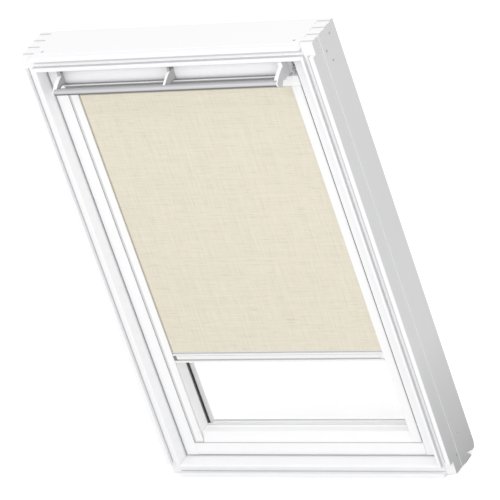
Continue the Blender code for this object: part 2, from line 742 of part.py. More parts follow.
def make_latch():
    """The latch case in the sash, its bolt, and the keeper in the frame."""
    length, depth, height = LATCH_CASE
    top = HEIGHT - SASH_OUT
    case = Shape().box((-length / 2, y_of(LATCH_DEPTH - depth / 2), top - height),
                       (length / 2, y_of(LATCH_DEPTH + depth / 2), top)).build("latch_case", STEEL)
    long, wide, tall = LATCH_BOLT
    room = Shape().box(
        (-long / 2 - TOUCH, y_of(LATCH_DEPTH - wide / 2 - TOUCH),
         top + LATCH_PROUD - tall - LATCH_TRAVEL - TOUCH),
        (long / 2 + TOUCH, y_of(LATCH_DEPTH + wide / 2 + TOUCH), top + OVER))
    cut(case, room)
    bolt = Shape().box((-long / 2, y_of(LATCH_DEPTH - wide / 2), top + LATCH_PROUD - tall),
                       (long / 2, y_of(LATCH_DEPTH + wide / 2), top + LATCH_PROUD))
    bolt.build("latch_bolt", STEEL)
    length, depth, thick = KEEPER
    face = HEIGHT - FRAME_THICK
    keeper = Shape().box((-length / 2, y_of(LATCH_DEPTH - depth / 2), face),
                         (length / 2, y_of(LATCH_DEPTH + depth / 2), face + thick))
    keeper.build("latch_keeper", STEEL)


def glass_rectangle(inset=0.0):
    """Lower left and upper right corner of the glass unit, (x, z), drawn in by an inset."""
    x = HALF - (WALL_IN - BITE) - TOUCH - inset
    low = LEDGE_IN - LEDGE_BITE + TOUCH + inset
    high = HEIGHT - (SASH_TOP_LOWER - TOP_BITE) - TOUCH - inset
    return (-x, low), (x, high)


def make_glass():
    """Two panes, the black edge seal and the spacer between them, and the gasket in front."""
    (x_low, z_low), (x_high, z_high) = glass_rectangle()
    back = GLASS_FRONT + PANE + PANE_SPACE
    for name, depth in (("glass_inner", GLASS_FRONT), ("glass_outer", back)):
        pane = Shape().box((x_low, y_of(depth), z_low), (x_high, y_of(depth + PANE), z_high))
        pane.build(name, GLASS)
    depths = (y_of(GLASS_FRONT + PANE + TOUCH), y_of(back - TOUCH))
    seal = Shape().frame(glass_rectangle(SEAL_INSET), glass_rectangle(SEAL_INSET + SEAL_WIDTH), *depths)
    seal.build("edge_seal", RUBBER)
    inner = SEAL_INSET + SEAL_WIDTH + TOUCH
    spacer = Shape().frame(glass_rectangle(inner), glass_rectangle(inner + SPACER_WIDTH), *depths)
    spacer.build("glass_spacer", GREY_METAL)
    wall = HALF - WALL_IN - GASKET_PROUD
    rim = ((-wall, LEDGE_IN + GASKET_PROUD), (wall, HEIGHT - SASH_TOP_LOWER - GASKET_PROUD))
    gasket = Shape().frame(glass_rectangle(), rim, y_of(BED + TOUCH), y_of(BED + TOUCH + GASKET))
    gasket.build("glazing_gasket", RUBBER)


def cover_section(inner):
    """Section of an outside cover, from near the sash's outer edge to an inner edge."""
    outer = SASH_OUT + COVER_REST
    base = SASH_BACK + TOUCH
    return [(outer, base), (inner, base), (inner, base + COVER_EDGE),
            (inner - COVER_BEVEL, base + COVER), (outer, base + COVER)]


def make_covers():
    """Aluminium covers outside, which hold the glass in."""
    span = (SASH_OUT + COVER_REST, HEIGHT - SASH_OUT - COVER_REST)
    for name, side in (("cover_left", -1), ("cover_right", 1)):
        outline = side_outline(cover_section(WALL_IN), side)
        Shape().prism(outline, "Z", *span).build(name, DARK_ALUMINIUM)
    reach = HALF - WALL_IN - TOUCH
    Shape().prism(bottom_outline(cover_section(LEDGE_IN - COVER_FOOT)), "X", -reach, reach).build(
        "cover_bottom", DARK_ALUMINIUM)
    Shape().prism(top_outline(cover_section(SASH_TOP_LOWER + COVER_LAP)), "X", -reach, reach).build(
        "cover_top", DARK_ALUMINIUM)


def drop_outline(points):
    """Outline (depth, drop below the top) as world (y, z)."""
    return [(y_of(point[0]), HEIGHT - point[1], *point[2:]) for point in points]


def flap_front():
    """Front line of the flap's section, (depth, drop), leaning back towards its top."""
    low = FLAP_FOOT - GUTTER_RISE
    return bend((FLAP_FRONT + FLAP_LEAN, FLAP_TOP), (FLAP_FRONT, (FLAP_TOP + low) / 2),
                (FLAP_FRONT, low), 4)


def make_flap():
    """The ventilation flap: a curved front, a gutter along its foot, and a return behind."""
    floor = FLAP_FOOT - GUTTER_WALL
    lip = FLAP_FRONT - GUTTER - GUTTER_WALL
    outline = flap_front()
    outline += [(FLAP_FRONT, floor), (lip + GUTTER_WALL, floor),
                (lip + GUTTER_WALL, FLAP_FOOT - GUTTER_RISE), (lip, FLAP_FOOT - GUTTER_RISE),
                (lip, FLAP_FOOT), (FLAP_BACK, FLAP_FOOT), (FLAP_BACK, FLAP_FOOT - FLAP_WALL),
                (FLAP_FRONT + FLAP_WALL, FLAP_FOOT - FLAP_WALL)]
    outline += [(depth + FLAP_WALL, drop) for depth, drop in reversed(flap_front())]
    reach = PLATE_IN - TOUCH
    return Shape().prism(drop_outline(outline), "X", -reach, reach).build("vent_flap", PLASTIC)


def bracket_front(inset=0.0):
    """Front line of a bracket, from its top down to the control bar, moved back by an inset."""
    tip = (BAR_DEPTH - BRACKET_TIP, BAR_DROP - BAR_RADIUS)
    line = [BRACKET_TOP] + bend(BRACKET_BROW, BRACKET_BOW, tip, 6)
    return [(depth + inset, drop + inset * BRACKET_RAKE) for depth, drop in line]


def bar_rod(radius, low, high):
    """A round rod on the control bar's axis."""
    return Shape().rod("X", (y_of(BAR_DEPTH), HEIGHT - BAR_DROP), radius, low, high, ROUND_SIDES)


def make_middle_bracket():
    """The thin bracket between flap and control bar, halfway along."""
    arch = bend(ARCH_HEEL, ARCH_CROWN, (FLAP_FRONT - GUTTER - GUTTER_WALL - TOUCH, ARCH_END[1]), 6)
    back = [(depth - TOUCH, drop) for depth, drop in reversed(flap_front()[:-1])]
    above = (FLAP_FRONT - TOUCH, ARCH_END[1])
    outline = bracket_front() + [(BAR_DEPTH, BAR_DROP)] + arch + [above] + back
    bracket = Shape().prism(drop_outline(outline), "X", -MIDDLE_BRACKET / 2, MIDDLE_BRACKET / 2)
    bracket = bracket.build("bracket_middle", PLASTIC)
    return cut(bracket, bar_rod(BAR_RADIUS + TOUCH, -MIDDLE_BRACKET, MIDDLE_BRACKET))


def make_end_bracket(name, side):
    """A plate that closes the flap's end and the bar's end, with a rim along its front."""
    arch = bend(ARCH_HEEL, ARCH_CROWN, ARCH_END, 6)
    brim = (BAR_DEPTH - BAR_RADIUS - BAR_SEAT, BAR_DROP - BAR_SEAT, BRIM_ROUND)
    outline = bracket_front() + [brim, (*ARCH_TOE, TOE_ROUND)] + arch + PLATE_KEEL + [BRACKET_BACK]
    ends = sorted((side * PLATE_IN, side * BRACKET_OUT))
    bracket = Shape().prism(rounded(drop_outline(outline)), "X", *ends).build(name, PLASTIC)
    band = bracket_front() + list(reversed(bracket_front(RIM_THICK)))
    ends = sorted((side * (BRACKET_OUT - BRACKET_RIM), side * (BRACKET_OUT - BRACKET_PLATE / 2)))
    combine(bracket, Shape().prism(drop_outline(band), "X", *ends), "UNION")
    ends = sorted((side * (BRACKET_OUT - 2 * BRACKET_RIM), side * (PLATE_IN + RUNNING)))
    cut(bracket, bar_rod(BAR_RADIUS + TOUCH, *ends))
    axis = (y_of(FLAP_AXIS_DEPTH), HEIGHT - FLAP_AXIS_DROP)
    ends = sorted((side * (PLATE_IN - OVER), side * (BRACKET_OUT + OVER)))
    return cut(bracket, Shape().rod("X", axis, FLAP_PIN + RUNNING, *ends))


def make_flap_and_bar():
    """The flap, its brackets, the control bar between them, and the pins the flap turns on."""
    make_flap()
    make_middle_bracket()
    axis = (y_of(FLAP_AXIS_DEPTH), HEIGHT - FLAP_AXIS_DROP)
    for name, side in (("left", -1), ("right", 1)):
        make_end_bracket("bracket_" + name, side)
        ends = sorted((side * (PLATE_IN - TOUCH), side * (HALF - STILE_IN + FLAP_PIN_REACH)))
        Shape().rod("X", axis, FLAP_PIN, *ends).build("flap_pin_" + name, STEEL)
    reach = PLATE_IN - TOUCH
    bar_rod(BAR_RADIUS, -reach, reach).build("control_bar", ALUMINIUM)


def casing_outline():
    """Section of the head casing, open below where the cloth comes out."""
    front = SASH_FACE
    back = SASH_FACE + CASING_DEPTH
    wall = CASING_WALL
    mouth = CLOTH_DEPTH + CLOTH + CLOTH_ROOM
    return [
        (front, CASING_LOW), (front, CASING_TOP, CASING_ROUND), (back, CASING_TOP), (back, CASING_LOW),
        (mouth, CASING_LOW), (mouth, CASING_LOW - wall), (back - wall, CASING_LOW - wall),
        (back - wall, CASING_TOP + wall), (front + wall, CASING_TOP + wall, CASING_ROUND - wall),
        (front + wall, CASING_LOW),
    ]


def make_head():
    """Casing, its end plates, and the roller inside."""
    edge = HALF - RAIL_OUT
    reach = edge - CASING_END - TOUCH
    Shape().prism(rounded(drop_outline(casing_outline())), "X", -reach, reach).build(
        "head_casing", RAIL_WHITE)
    plate = [(SASH_FACE, CASING_LOW), (SASH_FACE, CASING_TOP, CASING_ROUND),
             (SASH_FACE + CASING_DEPTH, CASING_TOP), (SASH_FACE + CASING_DEPTH, CASING_LOW)]
    centre = (y_of(ROLL_DEPTH), HEIGHT - ROLL_DROP)
    tube = reach - TUBE_MARGIN
    for name, side in (("left", -1), ("right", 1)):
        ends = sorted((side * (edge - CASING_END), side * edge))
        Shape().prism(rounded(drop_outline(plate)), "X", *ends).build("casing_end_" + name, PLASTIC)
        ends = sorted((side * (tube - PLUG_LENGTH), side * (tube + TOUCH)))
        plug = Shape().rod("X", centre, TUBE_RADIUS - TUBE_WALL - TOUCH, *ends, ROUND_SIDES)
        plug = plug.build("tube_plug_" + name, PLASTIC)
        hole = sorted((side * (tube - 2 * PLUG_LENGTH), side * (tube + OVER)))
        cut(plug, Shape().rod("X", centre, AXLE + RUNNING, *hole))
        ends = sorted((side * (tube - AXLE_REACH), side * (edge - CASING_END - TOUCH)))
        Shape().rod("X", centre, AXLE, *ends).build("axle_pin_" + name, STEEL)
    Shape().sleeve("X", centre, TUBE_RADIUS, TUBE_RADIUS - TUBE_WALL, -tube, tube).build(
        "roller_tube", ALUMINIUM)
    cloth = HALF - RAIL_IN + CLOTH_MARGIN
    Shape().sleeve("X", centre, ROLL_RADIUS, TUBE_RADIUS + TOUCH, -cloth, cloth).build(
        "cloth_roll", LINEN)
    rod = tube - PLUG_LENGTH - TOUCH
    Shape().rod("X", centre, AXLE, -rod, rod).build("spring_rod", STEEL)


def make_rails():
    """Side rails, each with a slot for the cloth's edge and the glide."""
    section = rounded([
        (RAIL_OUT, SASH_FACE, RAIL_EDGE),
        (RAIL_IN, SASH_FACE, RAIL_EDGE),
        (RAIL_IN, SASH_FACE + RAIL_FLANGE),
        (RAIL_OUT + RAIL_ROOT, SASH_FACE + RAIL_FLANGE),
        (RAIL_OUT + RAIL_ROOT, SASH_FACE + RAIL_FLANGE + RAIL_SLOT),
        (RAIL_IN, SASH_FACE + RAIL_FLANGE + RAIL_SLOT),
        (RAIL_IN, SEAT - TOUCH),
        (RAIL_OUT, SEAT - TOUCH),
    ], 2)
    low = FOOT_IN + SHADOW_LINE + TOUCH
    high = HEIGHT - CASING_LOW - TOUCH
    for name, side in (("side_rail_left", -1), ("side_rail_right", 1)):
        Shape().prism(side_outline(section, side), "Z", low, high).build(name, RAIL_WHITE)


def make_cloth_and_bar():
    """The cloth down to its bottom bar, the bar, and the glides at its ends."""
    reach = HALF - RAIL_IN + CLOTH_MARGIN
    cloth = Shape().box((-reach, y_of(CLOTH_DEPTH), BAR_HIGH + TOUCH),
                        (reach, y_of(CLOTH_DEPTH + CLOTH), HEIGHT - ROLL_DROP))
    cloth.build("blind_cloth", LINEN)
    back = BAR_FRONT + BAR_THICK
    foot = BAR_LOW + BAR_FOOT
    rib = BODY_HIGH + RIB_LINE
    lip = BAR_HIGH - HEM_LIP
    slot = BAR_FRONT + SLOT_BACK
    body = BAR_FRONT + BODY_BACK
    points = [
        (back, BAR_LOW), (back, BAR_HIGH), (BAR_FRONT + LIP_BACK, BAR_HIGH), (BAR_FRONT + LIP_BACK, lip),
        (slot, lip), (slot, rib + BAR_RIB), (BAR_FRONT, rib + BAR_RIB, BAR_EDGE), (BAR_FRONT, rib, BAR_EDGE),
        (body + RIB_LINE, rib), (body + RIB_LINE, BODY_HIGH), (body, BODY_HIGH, BAR_EDGE),
        (body, BODY_LOW, BAR_EDGE), (slot, BODY_LOW), (slot, foot), (BAR_FRONT, foot, BAR_EDGE),
        (BAR_FRONT, BAR_LOW, BAR_EDGE),
    ]
    outline = rounded([(y_of(point[0]), *point[1:]) for point in points], 2)
    ends = HALF - RAIL_IN - BAR_GAP
    bar = Shape().prism(outline, "X", -ends, ends).build("bottom_bar", RAIL_WHITE)
    notch_low = foot + RIB_LINE / 2
    notch_high = rib - RIB_LINE / 2
    for side in (-1, 1):
        low, high = sorted((side * (ends - BAR_NOTCH), side * (ends + OVER)))
        notch = Shape().box((low, y_of(BAR_FRONT - OVER), notch_low),
                            (high, y_of(back + OVER), notch_high))
        cut(bar, notch)
    middle = CLOTH_DEPTH + CLOTH / 2
    for name, side in (("glide_left", -1), ("glide_right", 1)):
        outer = HALF - RAIL_OUT - RAIL_ROOT - GLIDE_END
        low, high = sorted((side * (ends - BAR_NOTCH + TOUCH), side * outer))
        glide = Shape().box((low, y_of(middle - GLIDE / 2), notch_low + 2 * TOUCH),
                            (high, y_of(middle + GLIDE / 2), notch_high - 2 * TOUCH))
        glide.build(name, PLASTIC)


def set_origins():
    """Puts the origin of each moving piece on the axis it turns about or slides along."""
    axes = {
        (PIVOT_DEPTH, PIVOT_HEIGHT): (
            "sash_", "glass_", "edge_seal", "glazing_gasket", "cover_", "latch_case", "air_filter_",
            "flap_pin_", "head_casing", "casing_end_", "axle_pin_", "side_rail_"),
        (FLAP_AXIS_DEPTH, HEIGHT - FLAP_AXIS_DROP): ("vent_flap", "bracket_", "control_bar"),
        (LATCH_DEPTH, HEIGHT - SASH_OUT): ("latch_bolt",),
        (CLOTH_DEPTH + CLOTH / 2, BAR_LOW): ("bottom_bar", "glide_"),
        (CLOTH_DEPTH + CLOTH / 2, HEIGHT - ROLL_DROP): ("blind_cloth",),
        (ROLL_DEPTH, HEIGHT - ROLL_DROP): ("roller_tube", "cloth_roll", "tube_plug_", "spring_rod"),
    }
    for (depth, height), names in axes.items():
        point = Vector((0.0, y_of(depth), height)) * MM
        for piece in bpy.data.objects:
            if piece.name.startswith(names):
                piece.data.transform(Matrix.Translation(-point))
                piece.location = point


def shade_round_pieces():
    """Shades the round and curved pieces smooth, apart from their sharp edges."""
    names = ("control_bar", "roller_tube", "cloth_roll", "tube_plug_", "spring_rod", "axle_pin_",
             "flap_pin_", "sash_pivot_", "frame_pivot_", "bracket_", "vent_flap")
    for piece in bpy.data.objects:
        if piece.name.startswith(names):
            piece.data.shade_smooth()
            piece.data.set_sharp_from_angle(angle=SHARP)


def main():
    for old in list(bpy.data.objects):
        bpy.data.objects.remove(old)
    for name, side in (("left", -1), ("right", 1)):
        make_frame_side("frame_" + name, side)
        make_frame_pivot("frame_pivot_" + name, side)
        make_sash_side("sash_" + name, side)
        make_sash_pivot("sash_pivot_" + name, side)
        make_filter("air_filter_" + name, side)
    make_frame_top()
    make_frame_bottom()
    make_seal()
    make_sash_top()
    make_sash_bottom()
    make_latch()
    make_glass()
    make_covers()
    make_flap_and_bar()
    make_head()
    make_rails()
    make_cloth_and_bar()
    set_origins()
    shade_round_pieces()


main()
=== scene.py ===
"""Looks for a centre-pivot roof window with a roller blind: materials, cloth, screws, light and camera."""
import math

import bpy
import numpy as np
from mathutils import Matrix, Vector


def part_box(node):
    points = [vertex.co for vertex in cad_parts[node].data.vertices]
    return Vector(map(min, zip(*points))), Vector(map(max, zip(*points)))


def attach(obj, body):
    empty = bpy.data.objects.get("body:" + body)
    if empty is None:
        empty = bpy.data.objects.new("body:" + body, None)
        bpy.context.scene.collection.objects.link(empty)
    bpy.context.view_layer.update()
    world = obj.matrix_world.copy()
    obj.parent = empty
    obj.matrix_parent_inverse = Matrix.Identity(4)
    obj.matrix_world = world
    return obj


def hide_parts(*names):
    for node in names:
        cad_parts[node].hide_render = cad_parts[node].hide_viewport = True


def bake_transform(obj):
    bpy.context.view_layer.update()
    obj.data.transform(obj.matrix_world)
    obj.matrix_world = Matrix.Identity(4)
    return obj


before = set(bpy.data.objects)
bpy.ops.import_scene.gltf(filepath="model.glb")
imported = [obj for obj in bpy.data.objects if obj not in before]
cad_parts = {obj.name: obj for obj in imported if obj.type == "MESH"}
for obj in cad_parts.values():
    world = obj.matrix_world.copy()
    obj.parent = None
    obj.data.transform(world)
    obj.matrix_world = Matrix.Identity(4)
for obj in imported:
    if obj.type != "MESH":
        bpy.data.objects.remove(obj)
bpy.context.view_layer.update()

MM = 0.001

# Places that follow from the frame, in metres
ROLL_LOW, ROLL_HIGH = (np.array(corner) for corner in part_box("cloth_roll"))
CLOTH_LOW, CLOTH_HIGH = (np.array(corner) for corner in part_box("blind_cloth"))
ROLL_AXIS = (ROLL_LOW + ROLL_HIGH) / 2
FRAME_LOW, FRAME_HIGH = (np.array(corner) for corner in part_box("frame_top"))
HALF_WIDTH = float(FRAME_HIGH[0])
LIP_FRONT = float(FRAME_LOW[1])
FRAME_TOP = float(FRAME_HIGH[2])

# Cloth
CLOTH_THICK = 0.5 * MM
CLOTH_COLUMNS = 160
CLOTH_ROWS = 3
RIPPLE = 0.12 * MM
RIPPLE_WAVES = 7
WOUND_FROM = 8.9 * MM      # radius where the wound cloth starts
WOUND_TO = 9.75 * MM
WOUND_PITCH = 0.6 * MM
WOUND_STEPS = 40           # points in one turn
WOUND_COLUMNS = 12

# Screws let into the frame: (depth behind the lip, distance from the nearer end), in mm
SIDE_SCREWS_TOP = ((72.8, 81.4), (59.4, 49.8), (92.1, 22.4))
SIDE_SCREWS_FOOT = ((70.7, 80.7), (39.3, 40.1))
TOP_SCREW_INSET = 53.5
TOP_SCREW_DEPTH = 28.0
SCREW_RADIUS = 3.15 * MM
SCREW_SINK = 0.7 * MM      # from the frame's face down to the head's rim
SCREW_DEEP = 2.45 * MM     # down to the floor of the hole
SCREW_DOME = 0.15 * MM
SLOT_HALF = 0.55 * MM      # half a slot's width
SLOT_REACH = 1.9 * MM      # from the head's middle to a slot's end
SLOT_DEEP = 0.8 * MM
SLOT_WALL = 0.3            # the share of SLOT_HALF over which a slot's walls slope
SLOT_END = 0.2             # the share of SLOT_REACH over which its ends slope
SCREW_ANGLES = 48
HEAD_RINGS = np.array([0.12, 0.25, 0.4, 0.5, 0.62, 0.7, 0.85, 0.95, 1.0]) * SCREW_RADIUS
SKIRT_RINGS = np.array([1.0, 0.7, 0.35]) * SCREW_RADIUS
SKIRT_HEIGHTS = np.array([-SCREW_SINK - 0.3 * MM, -SCREW_DEEP, -SCREW_DEEP])
SHARP_ANGLE = math.radians(40)

# Paint and plastic, noise scales per metre
CLOUD_SCALE = 5.0
SMEAR_SCALE = 40.0
SMEAR_STRENGTH = 0.12      # how far smears swing the roughness
SIDEWAYS = 0.9             # a face looks sideways where its normal's part along X is over this
FOOT_FROM = 0.02           # the painted shade at the foot fades out between these heights, in metres
FOOT_TO = 0.35
ORANGE_PEEL = 0.05 * MM

# Finishes of paint and plastic: how uneven the tone is, the peel's noise scale, and how strong it shows
SMOOTH_PAINT = {"unevenness": 0.01, "peel": 1500.0, "bump": 0.05}
COVER_PAINT = {"unevenness": 0.1, "peel": 1800.0, "bump": 0.3}
MOULDED = {"unevenness": 0.01, "peel": 1200.0, "bump": 0.06}
GLIDING = {"unevenness": 0.02, "peel": 1200.0, "bump": 0.1}
RUBBER = {"unevenness": 0.3, "peel": 2500.0, "bump": 0.4}
GLASS_STRIP = {"unevenness": 0.1, "peel": 2500.0, "bump": 0.3}
FOAM = {"unevenness": 0.4, "peel": 1600.0, "bump": 1.0}

# Brushed metal
STREAK_SCALES = (6.0, 1500.0, 1500.0)
STREAK_BUMP = 0.1
STREAK_RELIEF = 0.02 * MM

# Linen, with scales per metre of its UV map: the lower one along a slub and the higher one across it
SLUB_SCALES = (22.0, 420.0)
LONG_SLUB_SCALES = (5.0, 170.0)
THREAD_SCALE = 250.0
SLUB_MEAN = 2.0            # the four slub values together swing about this
THICK_MEAN = 0.08          # what the thick threads take from the tone on average, given back
LINEN_BUMP = 0.3
LINEN_RELIEF = 0.1 * MM

# Painted shading: ranges of depth and inset, in mm, that take in a whole piece
ALL_DEPTHS = (-100.0, 300.0)
ALL_INSETS = (-100.0, 1000.0)
TO_MIDDLE = 700.0
NO_END = 10.0              # an x in metres that lies past every piece
END_FADE = 60.0            # painted shading that ends at an x fades out over one 60th of a metre
SIDES_OFF = 1.0            # metres added to the measure from a side edge where the sides don't count
SPACER_BACK = float(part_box("glass_spacer")[1][1] - FRAME_LOW[1]) / MM    # depth behind the lip

# Painted shadow lines at the corners' finger joints
FINGER_FROM = 21.9 * MM    # depth of the first line behind the lip
FINGER_PITCH = 29.6 * MM
FINGER_LINE = 1.5 * MM
FINGER_SOFT = 0.4 * MM
FINGER_INNER = 357.0 * MM  # the fingers reach in to this x
FINGER_DROP = 2.5 * MM
FINGER_LOSS = 0.30

# Stage
FLOOR_REACH = 20.0
FLOOR_TONE = 0.78
FLOOR_LIFT = 0.45          # glow that only the camera sees, straight or through glass
SKY_STRENGTH = 0.95
LAMP_AIM = (0, 0, 0.6)
CAMERA_LENS = 369.72
CAMERA_SENSOR = 36.0
CAMERA_FAR = 200.0
CAMERA_PLACE = (6.15605, -8.63840, 6.07434)
CAMERA_RIGHT = (0.8568, 0.4235, -0.2942)
CAMERA_UP = (0.0189, 0.5444, 0.8386)
CAMERA_BACK = (0.5153, -0.7240, 0.4585)


# Shader building

def new_material(name):
    """A material with nothing but its Principled shader and output."""
    made = bpy.data.materials.new(name)
    made.use_nodes = True
    tree = made.node_tree
    shader = tree.nodes["Principled BSDF"]
    return made, tree, shader


def add(tree, kind, **values):
    """A node of a kind, with its settings and its unlinked inputs given by name."""
    node = tree.nodes.new(kind)
    for key, value in values.items():
        if hasattr(node, key):
            setattr(node, key, value)
        else:
            node.inputs[key.replace("_", " ")].default_value = value
    return node


def new_group(name, inputs, outputs):
    """An empty shader node group with named inputs and outputs."""
    tree = bpy.data.node_groups.new(name, "ShaderNodeTree")
    for label, kind, value in inputs:
        socket = tree.interface.new_socket(label, in_out="INPUT", socket_type=kind)
        if value is not None:
            socket.default_value = value
    for label, kind in outputs:
        tree.interface.new_socket(label, in_out="OUTPUT", socket_type=kind)
    return tree, tree.nodes.new("NodeGroupInput"), tree.nodes.new("NodeGroupOutput")


def place_group(tree, group, **values):
    """A node group placed in a material with its own values."""
    node = tree.nodes.new("ShaderNodeGroup")
    node.node_tree = group
    for key, value in values.items():
        node.inputs[key.replace("_", " ")].default_value = value
    return node


def math_node(tree, operation, first, second, clamp=False):
    """One operation on two values, each a socket or a number."""
    node = add(tree, "ShaderNodeMath", operation=operation, use_clamp=clamp)
    for index, value in enumerate((first, second)):
        if isinstance(value, (int, float)):
            node.inputs[index].default_value = value
        else:
            tree.links.new(value, node.inputs[index])
    return node.outputs[0]


def size_of(tree, value):
    """A value without its sign."""
    return math_node(tree, "ABSOLUTE", value, 0.0)


def ranged(tree, value, low, high, new_low, new_high):
    """A value carried from one range to another, and held at its ends."""
    node = add(tree, "ShaderNodeMapRange", From_Min=low, From_Max=high, To_Min=new_low, To_Max=new_high)
    tree.links.new(value, node.inputs["Value"])
    return node.outputs["Result"]


def noise(tree, vector, scale, detail=2.0, roughness=0.5):
    """A noise value on a vector socket."""
    node = add(tree, "ShaderNodeTexNoise", Scale=scale, Detail=detail, Roughness=roughness)
    tree.links.new(vector, node.inputs["Vector"])
    return node.outputs["Fac"]


def scaled(tree, vector, factors):
    """A vector stretched by three factors."""
    node = add(tree, "ShaderNodeVectorMath", operation="MULTIPLY")
    tree.links.new(vector, node.inputs[0])
    node.inputs[1].default_value = factors
    return node.outputs["Vector"]


def along(tree, vector, axis):
    """One part of a vector."""
    node = add(tree, "ShaderNodeSeparateXYZ")
    tree.links.new(vector, node.inputs[0])
    return node.outputs[axis]


def tinted(tree, colour, shade):
    """A colour multiplied by a grey shade."""
    node = add(tree, "ShaderNodeVectorMath", operation="SCALE")
    tree.links.new(colour, node.inputs[0])
    tree.links.new(shade, node.inputs["Scale"])
    return node.outputs["Vector"]


COAT_SOCKETS = [("Colour", "NodeSocketColor"), ("Roughness", "NodeSocketFloat"),
                ("Height", "NodeSocketFloat")]


def coat_group():
    """Sprayed paint or moulded plastic: slow unevenness in tone, smears in the gloss and a fine orange
    peel. Faces that look along X, past Flank from, keep the share Flank of the tone, and near the foot
    only the share Flank foot of that: a painted shade on the sideways faces, deeper near the foot."""
    tree, start, end = new_group("Coat", [
        ("Colour", "NodeSocketColor", (0.9, 0.9, 0.9, 1.0)),
        ("Unevenness", "NodeSocketFloat", 0.02),
        ("Gloss", "NodeSocketFloat", 0.35),
        ("Peel size", "NodeSocketFloat", 700.0),
        ("Flank", "NodeSocketFloat", 1.0),
        ("Flank from", "NodeSocketFloat", 0.0),
        ("Flank foot", "NodeSocketFloat", 1.0),
    ], COAT_SOCKETS)
    coordinates = add(tree, "ShaderNodeTexCoord")
    place = coordinates.outputs["Object"]
    cloud = math_node(tree, "SUBTRACT", noise(tree, place, CLOUD_SCALE, 3.0), 0.5)
    swing = math_node(tree, "MULTIPLY", cloud, start.outputs["Unevenness"])
    facing = size_of(tree, along(tree, coordinates.outputs["Normal"], "X"))
    reach = size_of(tree, along(tree, place, "X"))
    flank = math_node(tree, "MULTIPLY", math_node(tree, "GREATER_THAN", facing, SIDEWAYS),
                      math_node(tree, "GREATER_THAN", reach, start.outputs["Flank from"]))
    low = ranged(tree, along(tree, place, "Z"), FOOT_FROM, FOOT_TO, 1.0, 0.0)
    foot = math_node(tree, "SUBTRACT", 1.0, math_node(
        tree, "MULTIPLY", low, math_node(tree, "SUBTRACT", 1.0, start.outputs["Flank foot"])))
    kept = math_node(tree, "MULTIPLY", start.outputs["Flank"], foot)
    loss = math_node(tree, "MULTIPLY", math_node(tree, "SUBTRACT", 1.0, kept), flank)
    shade = math_node(tree, "SUBTRACT", math_node(tree, "ADD", swing, 1.0), loss)
    tree.links.new(tinted(tree, start.outputs["Colour"], shade), end.inputs["Colour"])
    smear = math_node(tree, "SUBTRACT", noise(tree, place, SMEAR_SCALE, 2.0), 0.5)
    rough = math_node(tree, "ADD", start.outputs["Gloss"],
                      math_node(tree, "MULTIPLY", smear, SMEAR_STRENGTH))
    tree.links.new(rough, end.inputs["Roughness"])
    peel = add(tree, "ShaderNodeTexNoise", Detail=1.0)
    tree.links.new(place, peel.inputs["Vector"])
    tree.links.new(start.outputs["Peel size"], peel.inputs["Scale"])
    tree.links.new(peel.outputs["Fac"], end.inputs["Height"])
    return tree


def streak_group():
    """Drawn or brushed metal: fine streaks along X in tone, roughness and height."""
    tree, start, end = new_group("Streaks", [
        ("Colour", "NodeSocketColor", (0.7, 0.7, 0.7, 1.0)),
        ("Contrast", "NodeSocketFloat", 0.1),
        ("Gloss", "NodeSocketFloat", 0.3),
    ], COAT_SOCKETS)
    place = add(tree, "ShaderNodeTexCoord").outputs["Object"]
    streak = noise(tree, scaled(tree, place, STREAK_SCALES), 1.0, 2.0)
    swing = math_node(tree, "MULTIPLY", math_node(tree, "SUBTRACT", streak, 0.5), start.outputs["Contrast"])
    shade = math_node(tree, "ADD", swing, 1.0)
    tree.links.new(tinted(tree, start.outputs["Colour"], shade), end.inputs["Colour"])
    tree.links.new(math_node(tree, "ADD", start.outputs["Gloss"], swing), end.inputs["Roughness"])
    tree.links.new(streak, end.inputs["Height"])
    return tree


def slubs(tree, place, scales, detail, roughness=0.5):
    """Two noise values on a UV map, drawn out into slubs across the cloth and down it."""
    slow, quick = scales
    return [noise(tree, scaled(tree, place, factors), 1.0, detail, roughness)
            for factors in ((slow, quick, 1.0), (quick, slow, 1.0))]


def threads(tree, place, direction):
    """The threads that lie side by side along one direction of a UV map."""
    wave = add(tree, "ShaderNodeTexWave", wave_type="BANDS", bands_direction=direction, Scale=THREAD_SCALE)
    tree.links.new(place, wave.inputs["Vector"])
    return wave.outputs["Fac"]


